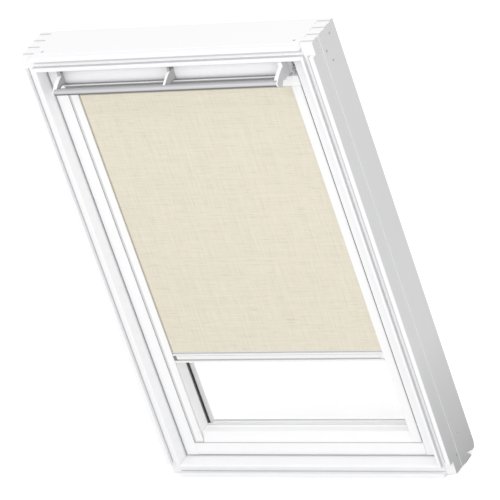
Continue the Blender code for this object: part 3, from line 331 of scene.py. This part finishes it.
def weave_group():
    """Linen weave on a UV map in metres: threads both ways, with slubs that run along them."""
    tree, start, end = new_group("Weave", [
        ("Colour", "NodeSocketColor", (0.8, 0.75, 0.62, 1.0)),
        ("Slub", "NodeSocketFloat", 0.1),
        ("Thread", "NodeSocketFloat", 0.06),
    ], COAT_SOCKETS)
    place = add(tree, "ShaderNodeTexCoord").outputs["UV"]
    across, down = slubs(tree, place, SLUB_SCALES, 3.0, 0.55)
    long_across, long_down = slubs(tree, place, LONG_SLUB_SCALES, 2.0)
    slub = math_node(tree, "ADD", math_node(tree, "ADD", across, down),
                     math_node(tree, "ADD", long_across, long_down))
    # A few thick threads show darker over a short way
    thick = math_node(tree, "MAXIMUM", ranged(tree, across, 0.30, 0.41, 1.0, 0.0),
                      ranged(tree, down, 0.28, 0.40, 0.8, 0.0))
    swing = math_node(tree, "SUBTRACT", math_node(tree, "SUBTRACT", slub, SLUB_MEAN), thick)
    swing = math_node(tree, "MULTIPLY", math_node(tree, "ADD", swing, THICK_MEAN), start.outputs["Slub"])
    grid = math_node(tree, "MAXIMUM", threads(tree, place, "X"), threads(tree, place, "Y"))
    fine = math_node(tree, "MULTIPLY", math_node(tree, "SUBTRACT", grid, 0.5), start.outputs["Thread"])
    shade = math_node(tree, "ADD", math_node(tree, "ADD", swing, fine), 1.0)
    tree.links.new(tinted(tree, start.outputs["Colour"], shade), end.inputs["Colour"])
    rough = ranged(tree, slub, SLUB_MEAN - 0.5, SLUB_MEAN + 0.5, 0.95, 0.8)
    tree.links.new(rough, end.inputs["Roughness"])
    tree.links.new(math_node(tree, "ADD", grid, swing), end.inputs["Height"])
    return tree


def within(tree, value, low, high, soft):
    """A mask that is 1 between two values and falls off at both, over the width soft."""
    rise = math_node(tree, "DIVIDE", math_node(tree, "SUBTRACT", value, low), soft)
    fall = math_node(tree, "DIVIDE", math_node(tree, "SUBTRACT", high, value), soft)
    ends = [math_node(tree, "ADD", end, 0.5, clamp=True) for end in (rise, fall)]
    return math_node(tree, "MULTIPLY", *ends)


def painted_shading_group():
    """Paints shade or light into a colour in part of the window's section, which Object coordinates and the
    node's own Origin give. Depth counts back from the lip, and Inset inwards from the nearest outer edge,
    or with Sides 0 from the top or foot alone. A Tone under 1 paints shade, and one over 1 paints light.
    Towards X to, on the right, it fades out."""
    tree, start, end = new_group("PaintedShading", [
        ("Colour", "NodeSocketColor", (0.8, 0.8, 0.8, 1.0)),
        ("Origin", "NodeSocketVector", None),
        ("Depth from", "NodeSocketFloat", 0.0),
        ("Depth to", "NodeSocketFloat", 0.0),
        ("Inset from", "NodeSocketFloat", 0.0),
        ("Inset to", "NodeSocketFloat", 0.0),
        ("Soft", "NodeSocketFloat", 0.001),
        ("Tone", "NodeSocketFloat", 0.7),
        ("Sides", "NodeSocketFloat", 1.0),
        ("X to", "NodeSocketFloat", NO_END),
    ], [("Colour", "NodeSocketColor")])
    place = add(tree, "ShaderNodeVectorMath", operation="ADD")
    tree.links.new(add(tree, "ShaderNodeTexCoord").outputs["Object"], place.inputs[0])
    tree.links.new(start.outputs["Origin"], place.inputs[1])
    x, y, z = (along(tree, place.outputs["Vector"], letter) for letter in "XYZ")
    depth = math_node(tree, "SUBTRACT", y, LIP_FRONT)
    # With Sides 0 this measure is a metre too long, so that the top or the foot is always nearer
    side = math_node(tree, "SUBTRACT", HALF_WIDTH + SIDES_OFF, size_of(tree, x))
    side = math_node(tree, "SUBTRACT", side, start.outputs["Sides"])
    height = size_of(tree, math_node(tree, "SUBTRACT", z, FRAME_TOP / 2))
    inset = math_node(tree, "MINIMUM", side, math_node(tree, "SUBTRACT", FRAME_TOP / 2, height))
    deep, near = (within(tree, value, start.outputs[f"{word} from"], start.outputs[f"{word} to"],
                         start.outputs["Soft"]) for word, value in (("Depth", depth), ("Inset", inset)))
    room = math_node(tree, "SUBTRACT", start.outputs["X to"], x)
    deep = math_node(tree, "MULTIPLY", deep, math_node(tree, "MULTIPLY", room, END_FADE, clamp=True))
    loss = math_node(tree, "MULTIPLY", math_node(tree, "MULTIPLY", deep, near),
                     math_node(tree, "SUBTRACT", 1.0, start.outputs["Tone"]))
    shade = math_node(tree, "SUBTRACT", 1.0, loss)
    tree.links.new(tinted(tree, start.outputs["Colour"], shade), end.inputs["Colour"])
    return tree


COAT = coat_group()
STREAKS = streak_group()
WEAVE = weave_group()
PAINTED_SHADING = painted_shading_group()


def finish_shader(tree, shader, node, strength, distance):
    """Leads a group's outputs into the Principled shader, its height through a bump."""
    tree.links.new(node.outputs["Colour"], shader.inputs["Base Color"])
    tree.links.new(node.outputs["Roughness"], shader.inputs["Roughness"])
    bump = add(tree, "ShaderNodeBump", Strength=strength, Distance=distance)
    tree.links.new(node.outputs["Height"], bump.inputs["Height"])
    tree.links.new(bump.outputs["Normal"], shader.inputs["Normal"])


def coated(name, colour, gloss, unevenness=0.02, peel=700.0, bump=0.15, flank=1.0, flank_from=0.0,
           flank_foot=1.0):
    """Paint or plastic, with the Coat group's values."""
    made, tree, shader = new_material(name)
    node = place_group(tree, COAT, Colour=(*colour, 1.0), Unevenness=unevenness, Gloss=gloss,
                       Peel_size=peel, Flank=flank, Flank_from=flank_from, Flank_foot=flank_foot)
    finish_shader(tree, shader, node, bump, ORANGE_PEEL)
    return made


def streaked(name, colour, gloss, contrast=0.1):
    """Bare metal with fine streaks."""
    made, tree, shader = new_material(name)
    shader.inputs["Metallic"].default_value = 1.0
    node = place_group(tree, STREAKS, Colour=(*colour, 1.0), Contrast=contrast, Gloss=gloss)
    finish_shader(tree, shader, node, STREAK_BUMP, STREAK_RELIEF)
    return made


def woven(name, colour, slub=0.13, sheen=0.15):
    """The blind's cloth."""
    made, tree, shader = new_material(name)
    node = place_group(tree, WEAVE, Colour=(*colour, 1.0), Slub=slub)
    finish_shader(tree, shader, node, LINEN_BUMP, LINEN_RELIEF)
    shader.inputs["Sheen Weight"].default_value = sheen
    shader.inputs["Sheen Roughness"].default_value = 0.6
    return made


def painted_shading(depth, inset, soft, tone):
    """The values of one patch of painted shade or light: depth and inset each run from and to, and soft is
    the width of its edges, all in mm. Tone is the share of the colour that it leaves."""
    return {"Depth_from": depth[0] * MM, "Depth_to": depth[1] * MM, "Inset_from": inset[0] * MM,
            "Inset_to": inset[1] * MM, "Soft": soft * MM, "Tone": tone}


def shaded(material, owner, *shadings, sides=1.0, x_to=NO_END):
    """Puts painted shade and light into a material. Owner is a piece whose origin the material's nodes
    share, and x_to is in metres."""
    tree = material.node_tree
    base = tree.nodes["Principled BSDF"].inputs["Base Color"]
    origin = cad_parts[owner].location
    for values in shadings:
        node = place_group(tree, PAINTED_SHADING, Origin=origin, Sides=sides, X_to=x_to, **values)
        tree.links.new(base.links[0].from_socket, node.inputs["Colour"])
        tree.links.new(node.outputs["Colour"], base)
    return material


def finger_shadow_lines(material):
    """Paints a shadow on the front edge of each corner finger on the frame's top: a line FINGER_LINE wide
    every FINGER_PITCH of depth, from FINGER_FROM on, where the side members cross."""
    tree = material.node_tree
    base = tree.nodes["Principled BSDF"].inputs["Base Color"]
    place = add(tree, "ShaderNodeTexCoord").outputs["Object"]
    depth = math_node(tree, "SUBTRACT", along(tree, place, "Y"), LIP_FRONT + FINGER_FROM)
    phase = math_node(tree, "MODULO", depth, FINGER_PITCH)
    line = within(tree, phase, 0.0, FINGER_LINE, FINGER_SOFT)
    reach = math_node(tree, "GREATER_THAN", size_of(tree, along(tree, place, "X")), FINGER_INNER)
    high = math_node(tree, "GREATER_THAN", along(tree, place, "Z"), FRAME_TOP - FINGER_DROP)
    mask = math_node(tree, "MULTIPLY", math_node(tree, "MULTIPLY", line, reach), high)
    shade = math_node(tree, "SUBTRACT", 1.0, math_node(tree, "MULTIPLY", mask, FINGER_LOSS))
    tree.links.new(tinted(tree, base.links[0].from_socket, shade), base)
    return material


def clear_glass():
    """Float glass with a faint green cast. Its low alpha lets the lamps light the pieces behind it."""
    made, tree, shader = new_material("window_glass")
    shader.inputs["Base Color"].default_value = (0.995, 1.0, 0.998, 1.0)
    shader.inputs["Roughness"].default_value = 0.0
    shader.inputs["IOR"].default_value = 1.5
    shader.inputs["Transmission Weight"].default_value = 1.0
    shader.inputs["Alpha"].default_value = 0.1
    return made


def dress(material, *names):
    """Gives CAD nodes a material."""
    for name in names:
        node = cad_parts[name]
        node.data.materials.clear()
        node.data.materials.append(material)


# The pieces' finishes

WINDOW_WHITE = (0.89, 0.89, 0.90)
FLANK_FROM = 388.0 * MM        # the frame's outer side faces lie past this x
GROOVE_FLOOR = (9.5, 12.5)     # depths about the floor of the lining groove
GROOVE_IN = (14.8, 28.2)       # insets between which it lies


def dress_frame():
    """The frame's members, with painted light on the lining groove's floor and painted shade round it.
    Along the top and the right, the lip's shade is painted on the groove's floor, which gets its painted
    light from a greater inset on."""
    # Copies of the paint with their own painted light and shade: the left member, the right and the top,
    # and the foot
    for name, lit, floor, edge, nodes in (
            ("frame_paint", GROOVE_IN[0], 1.12, 0.80, ("frame_left",)),
            ("frame_paint_lee", 23.0, 1.06, 0.80, ("frame_right", "frame_top")),
            ("frame_paint_foot", GROOVE_IN[0], 1.06, 0.92, ("frame_bottom",))):
        # Flank darkens the outer sides with painted shade, deeper towards the foot
        paint = coated(name, WINDOW_WHITE, 0.42, unevenness=0.03, flank=0.71, flank_from=FLANK_FROM,
                       flank_foot=0.69)
        shaded(paint, "frame_left",
               # painted light on the groove's floor
               painted_shading(GROOVE_FLOOR, (lit, GROOVE_IN[1]), 1.5, floor),
               painted_shading((8.5, 12.8), (11.8, 14.2), 1.2, 0.72),       # painted shade in the groove's corner at the lip
               painted_shading((1.5, 10.5), (28.0, 29.2), 0.8, 0.70),       # painted shade on its wall at the nose
               painted_shading((30.0, 36.0), (39.0, 46.0), 2.5, edge))      # painted shade on the edge beside the sash
        # Along the top and the right, the lip's shadow painted on the groove's floor
        if lit > GROOVE_IN[0]:
            shaded(paint, "frame_left", painted_shading(GROOVE_FLOOR, (GROOVE_IN[0], lit), 1.5, 0.76))
        dress(finger_shadow_lines(paint), *nodes)


def dress_sash():
    """The sash's members, with painted shade in and beside their gaps and painted light on the shelf by the
    glass. The bottom one has painted tones of its own.
    """
    for name, side, face, inner, nodes in (
            ("sash_paint", 0.85, 0.88, 0.22, ("sash_left", "sash_right", "sash_top")),
            ("sash_paint_foot", 0.80, 0.82, 0.72, ("sash_bottom",))):
        paint = coated(name, WINDOW_WHITE, 0.40)
        shaded(paint, "sash_left",
               painted_shading((33.6, 70.0), (43.0, 46.5), 1.0, side),      # painted shade on the side towards the frame
               painted_shading((30.0, 36.0), (38.0, 50.0), 12.0, face),     # painted shade on the face beside that
               painted_shading((34.2, 53.0), (75.5, 79.5), 1.0, inner),     # painted shade on the inner side, by a rail or the ledge
               painted_shading((60.0, 75.0), (104.8, 107.0), 1.0, 1.08))    # painted light on the shelf or the ledge by the glass
        if "sash_bottom" in nodes:
            # Painted shade on the ledge's last strip before the glass
            shaded(paint, "sash_left", painted_shading((68.2, 75.0), (104.0, 107.0), 1.0, 0.76), sides=0.0)
        dress(paint, *nodes)


def dress_seals():
    """The frame's seal and the strips round the glass. Along the foot and the head the strips are pale, a
    painted light for the light that comes through the glass, and down the sides they are darker."""
    dress(coated("seal_rubber", (0.025, 0.025, 0.027), 0.65, **RUBBER), "frame_seal")
    for name, gloss, *shadings in (
            ("edge_seal", 0.65, painted_shading(ALL_DEPTHS, (98.0, TO_MIDDLE), 1.0, 0.06)),
            ("glass_spacer", 0.45,
             painted_shading((ALL_DEPTHS[0], SPACER_BACK - 3.0), (101.0, TO_MIDDLE), 1.0, 0.78),
             painted_shading((SPACER_BACK - 4.0, SPACER_BACK - 2.5), (101.0, TO_MIDDLE), 0.6, 0.85)),
            ("glazing_gasket", 0.65, painted_shading(ALL_DEPTHS, (107.5, TO_MIDDLE), 1.0, 0.22))):
        painted_light_strip = coated(f"{name}_tape", (0.95, 0.95, 0.95), gloss, **GLASS_STRIP)
        dress(shaded(painted_light_strip, name, *shadings, sides=0.0), name)


def dress_covers():
    """The covers outside. Their undersides, seen through the glass, are pale, a painted light for the light
    that comes through the glass, and their weather side is dark.
    """
    for name, under, tone, nodes in (
            ("cover_paint", 0.95, 0.093, ("cover_left", "cover_right", "cover_top")),
            ("cover_paint_foot", 0.97, 0.09, ("cover_bottom",))):
        paint = coated(name, (0.97 * under, under, 1.03 * under), 0.45, **COVER_PAINT)
        dress(shaded(paint, "cover_left", painted_shading((101.9, ALL_DEPTHS[1]), ALL_INSETS, 0.3, tone)), *nodes)


def dress_metal():
    """The pivots, the latch, the pins and the spring's rod."""
    dress(streaked("pivot_steel", (0.55, 0.55, 0.56), 0.38, contrast=0.2), "frame_pivot_left",
          "frame_pivot_right", "sash_pivot_left", "sash_pivot_right", "latch_case", "latch_bolt",
          "latch_keeper", "flap_pin_left", "flap_pin_right", "axle_pin_left", "axle_pin_right",
          "spring_rod")


def dress_flap():
    """The ventilation flap, with painted shade in its gutter, on its face above it and on its top. Here
    and in the functions below, sides=0.0 counts insets from the frame's top or foot."""
    plastic = coated("flap_plastic", (0.92, 0.92, 0.93), 0.30, **MOULDED)
    shaded(plastic, "vent_flap",
           painted_shading((11.4, 21.0), (82.4, 84.0), 0.8, 0.40),          # painted shade on the gutter's floor
           painted_shading((9.0, 11.6), (82.9, 86.0), 0.6, 0.45),           # painted shade at the foot of the gutter's front
           painted_shading((18.5, 26.0), (79.0, 90.0), 7.0, 0.72),          # painted shade on the flap's face above it
           painted_shading((0.0, 60.0), (46.0, 52.5), 1.0, 0.82),           # painted shade on the flap's top, under the frame
           sides=0.0)
    dress(plastic, "vent_flap")


def dress_brackets():
    """The brackets, whose plates' sideways faces carry painted shade. The left and middle ones are darker
    on the brow and have painted shade under the arch; the right one has painted shade on its plate's keel
    and painted light towards the plate's back, so that it is paler there than the others'.
    """
    shade = (painted_shading((-60.0, 60.0), (40.0, 52.8), 1.0, 0.45),       # the brow, darker
             painted_shading((-14.0, 10.0), (75.5, 90.0), 3.0, 0.60))       # painted shade on the arch's underside
    light = (painted_shading((12.0, 34.0), (84.3, 90.0), 1.0, 0.50),        # painted shade on the plate's keel
             painted_shading((32.0, 60.0), (30.0, 100.0), 12.0, 1.66),      # painted light on the plate's back
             painted_shading((8.0, 60.0), (30.0, 100.0), 20.0, 1.10))       # painted light on the plate behind its front
    # Flank darkens the plates' sideways faces with painted shade
    for name, flank, shadings, nodes in (
            ("bracket_plastic", 0.50, shade, ("bracket_left", "bracket_middle")),
            ("bracket_plastic_right", 0.60, light, ("bracket_right",))):
        plastic = coated(name, (0.90, 0.90, 0.91), 0.38, flank=flank, **MOULDED)
        dress(shaded(plastic, "bracket_left", *shadings, sides=0.0), *nodes)


def dress_bar():
    """The control bar, whose painted shade and painted reflection darken all but a front band, left as a
    painted highlight; and the filters behind the flap.
    """
    silver = streaked("bar_silver", (0.82, 0.82, 0.84), 0.42)
    shaded(silver, "control_bar",
           painted_shading((-36.4, 0.0), (50.0, 90.0), 4.0, 0.66),          # painted shade and reflection on all but the bar's front
           painted_shading((-50.0, 0.0), (76.9, 95.0), 3.0, 0.34),          # deeper painted shade on its lower half
           painted_shading((-50.0, 0.0), (81.0, 95.0), 2.0, 0.65),          # deeper still on its underside
           sides=0.0)
    dress(silver, "control_bar")
    dress(coated("filter_foam", (0.16, 0.165, 0.17), 0.95, **FOAM), "air_filter_left", "air_filter_right")


def dress_casing():
    """The roller blind's casing. Along its upper edge its front carries a painted shadow of the flap."""
    paint = coated("casing_paint", (0.93, 0.93, 0.93), 0.30, **SMOOTH_PAINT)
    shaded(paint, "head_casing", painted_shading((30.0, 34.0), (90.0, 104.0), 1.5, 0.27), sides=0.0, x_to=0.284)
    dress(paint, "head_casing", "casing_end_left", "casing_end_right")


def dress_rails():
    """The side rails, with painted shade on the outer side and softer painted shade on the face beside it,
    deeper on the left rail than the right.
    """
    for word, reach, tone in (("left", 84.0, 0.60), ("right", 80.0, 0.70)):
        name = f"side_rail_{word}"
        paint = coated(f"rail_paint_{word}", (0.89, 0.89, 0.89), 0.30, **SMOOTH_PAINT)
        shaded(paint, name, painted_shading((34.2, 52.0), (77.5, 79.2), 0.8, 0.20),
               painted_shading((32.0, 36.0), (76.0, reach), 4.0, tone))
        dress(paint, name)


def dress_bottom_bar():
    """The blind's bottom bar with its glides, and the roller's tube with its plugs."""
    paint = coated("bottom_bar_paint", (0.83, 0.83, 0.83), 0.30, **SMOOTH_PAINT)
    shaded(paint, "bottom_bar",
           painted_shading((34.0, 37.0), (333.9, 337.3), 0.6, 0.55),        # painted shade in the slot under the hem
           painted_shading((33.9, 35.0), (328.3, 329.7), 0.5, 0.70),        # painted shade on the line under the upper rib
           painted_shading((34.0, 37.0), (314.8, 319.0), 0.8, 0.60),        # painted shade in the slot above the lower rib
           sides=0.0)
    dress(paint, "bottom_bar")
    dress(coated("glide_plastic", (0.20, 0.20, 0.21), 0.5, **GLIDING), "glide_left",
          "tube_plug_left", "tube_plug_right")
    # The right glide is painted pale, a painted light, where the left one keeps the dark plastic
    dress(coated("glide_white", (0.85, 0.85, 0.85), 0.4, **GLIDING), "glide_right")
    dress(streaked("tube_metal", (0.70, 0.70, 0.71), 0.35), "roller_tube")


# Meshes

def mesh_object(name, points, faces, material, uv=None):
    """An object from an array of points and a list of faces, smooth, with an optional UV per point."""
    data = bpy.data.meshes.new(name)
    data.from_pydata(points.tolist(), [], faces)
    if uv is not None:
        layer = data.uv_layers.new(name="UVMap")
        loop_points = np.empty(len(data.loops), dtype=np.int32)
        data.loops.foreach_get("vertex_index", loop_points)
        layer.data.foreach_set("uv", uv[loop_points].ravel())
    data.materials.append(material)
    data.validate()
    data.shade_smooth()
    made = bpy.data.objects.new(name, data)
    bpy.context.collection.objects.link(made)
    return made


def grid_faces(rows, columns):
    """Quads of a grid whose points are numbered row by row."""
    row, column = np.meshgrid(np.arange(rows - 1), np.arange(columns - 1), indexing="ij")
    first = (row * columns + column).ravel()
    return np.stack([first, first + 1, first + columns + 1, first + columns], axis=1)


def thicken(piece, thickness):
    """Gives a sheet its thickness, half to either side, with crisp rims."""
    data = piece.data
    loop_edges = np.empty(len(data.loops), dtype=np.int32)
    data.loops.foreach_get("edge_index", loop_edges)
    rim = np.bincount(loop_edges, minlength=len(data.edges)) == 1
    sharp = data.attributes.new("sharp_edge", "BOOLEAN", "EDGE")
    sharp.data.foreach_set("value", rim)
    wall = piece.modifiers.new("thickness", "SOLIDIFY")
    wall.thickness = thickness
    wall.offset = 0.0
    return piece


def linen():
    """The cloth's material, with painted shade beside the left rail and under the casing, and a painted
    light band below that."""
    made = woven("blind_linen", (0.69, 0.643, 0.530))
    # painted shade beside the left rail
    shaded(made, "blind_cloth", painted_shading((30.0, 45.0), (103.9, 107.2), 1.5, 0.62), x_to=0.0)
    # painted shade under the casing, and a painted light band below it
    return shaded(made, "blind_cloth", painted_shading((30.0, 36.2), (118.0, 125.2), 1.0, 0.60),
                  painted_shading((30.0, 45.0), (116.0, 152.0), 24.0, 1.11), sides=0.0, x_to=0.27)


def hanging_cloth(material):
    """The drawn cloth: x runs from edge to edge, z straight down from roll to bottom bar, and y is the
    cloth's own depth plus a ripple, RIPPLE times the cosine of RIPPLE_WAVES turns over the width, times
    the sine of half a turn, which stills it at both edges."""
    middle = (CLOTH_LOW[1] + CLOTH_HIGH[1]) / 2
    x, z = np.meshgrid(np.linspace(CLOTH_LOW[0], CLOTH_HIGH[0], CLOTH_COLUMNS),
                       np.linspace(CLOTH_HIGH[2], CLOTH_LOW[2], CLOTH_ROWS))
    share = (x - CLOTH_LOW[0]) / (CLOTH_HIGH[0] - CLOTH_LOW[0])
    y = middle + RIPPLE * np.cos(2 * np.pi * RIPPLE_WAVES * share) * np.sin(np.pi * share)
    points = np.stack([x, y, z], axis=-1).reshape(-1, 3)
    uv = np.stack([x.ravel(), z.ravel()], axis=-1)
    faces = grid_faces(CLOTH_ROWS, CLOTH_COLUMNS)[:, ::-1].tolist()
    cloth = thicken(mesh_object("hanging_cloth", points, faces, material, uv), CLOTH_THICK)
    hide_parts("blind_cloth")
    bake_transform(cloth)


def wound_cloth(material):
    """The cloth on the roller: a spiral about the roll's axis, whose radius grows by WOUND_PITCH a turn
    from WOUND_FROM to WOUND_TO, carried along x from edge to edge."""
    turns = (WOUND_TO - WOUND_FROM) / WOUND_PITCH
    steps = int(turns * WOUND_STEPS) + 1
    x, share = np.meshgrid(np.linspace(ROLL_LOW[0], ROLL_HIGH[0], WOUND_COLUMNS), np.linspace(0, 1, steps))
    radius = WOUND_FROM + (WOUND_TO - WOUND_FROM) * share
    angle = 2 * np.pi * turns * share
    points = np.stack([x, ROLL_AXIS[1] + radius * np.cos(angle), ROLL_AXIS[2] + radius * np.sin(angle)],
                      axis=-1).reshape(-1, 3)
    length = np.pi * turns * (WOUND_FROM + WOUND_TO)
    uv = np.stack([x.ravel(), (share * length).ravel()], axis=-1)
    faces = grid_faces(steps, WOUND_COLUMNS)[:, ::-1].tolist()
    cloth = thicken(mesh_object("wound_cloth", points, faces, material, uv), CLOTH_THICK)
    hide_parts("cloth_roll")
    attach(cloth, "roller")


def screw_points(centre, out):
    """Points of a screw head, a surface of ring and angle round its axis, which points out. Over the head
    the height is a dome that falls with the square of the radius, from SCREW_SINK below the frame's face,
    less SLOT_DEEP inside a cross of two slots. The skirt's rings go down to the hole's floor. The last
    two points are the poles that close both."""
    angles = np.arange(SCREW_ANGLES) * 2 * np.pi / SCREW_ANGLES
    radius, angle = np.meshgrid(HEAD_RINGS, angles, indexing="ij")
    across, upward = radius * np.cos(angle), radius * np.sin(angle)
    from_slot = np.minimum(np.abs(across), np.abs(upward))
    inside = np.clip((SLOT_HALF - from_slot) / (SLOT_WALL * SLOT_HALF), 0, 1)
    inside *= np.clip((SLOT_REACH - radius) / (SLOT_END * SLOT_REACH), 0, 1)
    dome = SCREW_DOME * (1 - (radius / SCREW_RADIUS) ** 2)
    head = np.stack([across, upward, -SCREW_SINK + dome - SLOT_DEEP * inside], axis=-1)
    radius, angle = np.meshgrid(SKIRT_RINGS, angles, indexing="ij")
    height = np.repeat(SKIRT_HEIGHTS[:, None], SCREW_ANGLES, axis=1)
    skirt = np.stack([radius * np.cos(angle), radius * np.sin(angle), height], axis=-1)
    poles = [[0, 0, -SCREW_SINK - SLOT_DEEP], [0, 0, -SCREW_DEEP]]
    side = Vector((0, 1, 0))
    axes = np.array([side, Vector(out).cross(side), Vector(out)])
    return np.concatenate([head.reshape(-1, 3), skirt.reshape(-1, 3), poles]) @ axes + np.array(centre)


def screw_faces():
    """Faces of a screw head: quads from ring to ring, and a fan of triangles round each pole."""
    rings = len(HEAD_RINGS) + len(SKIRT_RINGS)
    turn = np.arange(SCREW_ANGLES)
    after = (turn + 1) % SCREW_ANGLES
    ring = np.arange(rings - 1)[:, None] * SCREW_ANGLES
    below = ring + SCREW_ANGLES
    quads = np.stack([ring + turn, below + turn, below + after, ring + after], axis=-1).reshape(-1, 4)
    last, pole = (rings - 1) * SCREW_ANGLES, rings * SCREW_ANGLES
    upper = np.stack([np.full(SCREW_ANGLES, pole), turn, after], axis=1)
    lower = np.stack([np.full(SCREW_ANGLES, pole + 1), last + after, last + turn], axis=1)
    return quads.tolist() + upper.tolist() + lower.tolist()


def screw_head(name, centre, out, material):
    """A countersunk screw head, let into the frame."""
    head = mesh_object(name, screw_points(centre, out), screw_faces(), material)
    head.data.set_sharp_from_angle(angle=SHARP_ANGLE)
    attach(head, "frame")


def make_screws():
    """Five heads in each side of the frame and two in its top."""
    steel = streaked("screw_steel", (0.50, 0.50, 0.51), 0.40, contrast=0.2)
    for word, side in (("left", -1), ("right", 1)):
        spots = [(depth, FRAME_TOP - drop * MM) for depth, drop in SIDE_SCREWS_TOP]
        spots += [(depth, rise * MM) for depth, rise in SIDE_SCREWS_FOOT]
        for number, (depth, height) in enumerate(spots, 1):
            centre = (side * HALF_WIDTH, LIP_FRONT + depth * MM, height)
            screw_head(f"screw_{word}_{number}", centre, (side, 0, 0), steel)
        centre = (side * (HALF_WIDTH - TOP_SCREW_INSET * MM), LIP_FRONT + TOP_SCREW_DEPTH * MM, FRAME_TOP)
        screw_head(f"screw_top_{word}", centre, (0, 0, 1), steel)


# Stage

def white_for_camera(tree):
    """A mask that is 1 for rays from the camera, straight or through glass."""
    path = add(tree, "ShaderNodeLightPath")
    return math_node(tree, "MAXIMUM", path.outputs["Is Camera Ray"], path.outputs["Is Transmission Ray"])


def make_floor():
    """A wide pale floor, which shows near white and keeps the object's shadow."""
    span = np.linspace(-FLOOR_REACH, FLOOR_REACH, 3)
    x, y = np.meshgrid(span, span)
    points = np.stack([x.ravel(), y.ravel(), np.zeros(x.size)], axis=-1)
    made, tree, shader = new_material("floor_white")
    shader.inputs["Base Color"].default_value = (FLOOR_TONE, FLOOR_TONE, FLOOR_TONE, 1.0)
    shader.inputs["Roughness"].default_value = 0.9
    shader.inputs["Emission Color"].default_value = (1.0, 1.0, 1.0, 1.0)
    lift = math_node(tree, "MULTIPLY", white_for_camera(tree), FLOOR_LIFT)
    tree.links.new(lift, shader.inputs["Emission Strength"])
    floor = mesh_object("floor", points, grid_faces(3, 3).tolist(), made)


def make_world():
    """An even pale sky, white where it is seen."""
    world = bpy.data.worlds.new("sky")
    bpy.context.scene.world = world
    world.use_nodes = True
    tree = world.node_tree
    sky = tree.nodes["Background"]
    sky.inputs["Color"].default_value = (1.0, 1.0, 1.0, 1.0)
    strength = ranged(tree, white_for_camera(tree), 0.0, 1.0, SKY_STRENGTH, 1.0)
    tree.links.new(strength, sky.inputs["Strength"])


def soft_lamp(name, place, size, power):
    """A square lamp, size metres wide, that faces LAMP_AIM."""
    data = bpy.data.lights.new(name, "AREA")
    data.shape = "SQUARE"
    data.size = size
    data.energy = power
    lamp = bpy.data.objects.new(name, data)
    bpy.context.collection.objects.link(lamp)
    lamp.location = place
    lamp.rotation_mode = "QUATERNION"
    lamp.rotation_quaternion = (Vector(LAMP_AIM) - Vector(place)).to_track_quat("-Z", "Y")


def make_camera():
    """The camera where the photograph was taken from, found from the frame's corners."""
    data = bpy.data.cameras.new("camera")
    data.lens = CAMERA_LENS
    data.sensor_width = CAMERA_SENSOR
    data.clip_end = CAMERA_FAR
    turn = Matrix((CAMERA_RIGHT, CAMERA_UP, CAMERA_BACK)).transposed().to_4x4()
    camera = bpy.data.objects.new("camera", data)
    camera.matrix_world = Matrix.Translation(CAMERA_PLACE) @ turn
    bpy.context.collection.objects.link(camera)
    bpy.context.scene.camera = camera


make_camera()
dress_frame()
dress_sash()
dress_seals()
dress_covers()
dress_metal()
dress(clear_glass(), "glass_inner", "glass_outer")
dress_flap()
dress_brackets()
dress_bar()
dress_casing()
dress_rails()
dress_bottom_bar()
cloth_linen = linen()
hanging_cloth(cloth_linen)
wound_cloth(cloth_linen)
make_screws()
make_floor()
make_world()
soft_lamp("key", (0.2, -4.4, 4.2), size=3.0, power=60.0)
soft_lamp("fill", (4.0, -3.2, 2.2), size=2.5, power=39.0)
bpy.context.scene.view_settings.view_transform = "Standard"
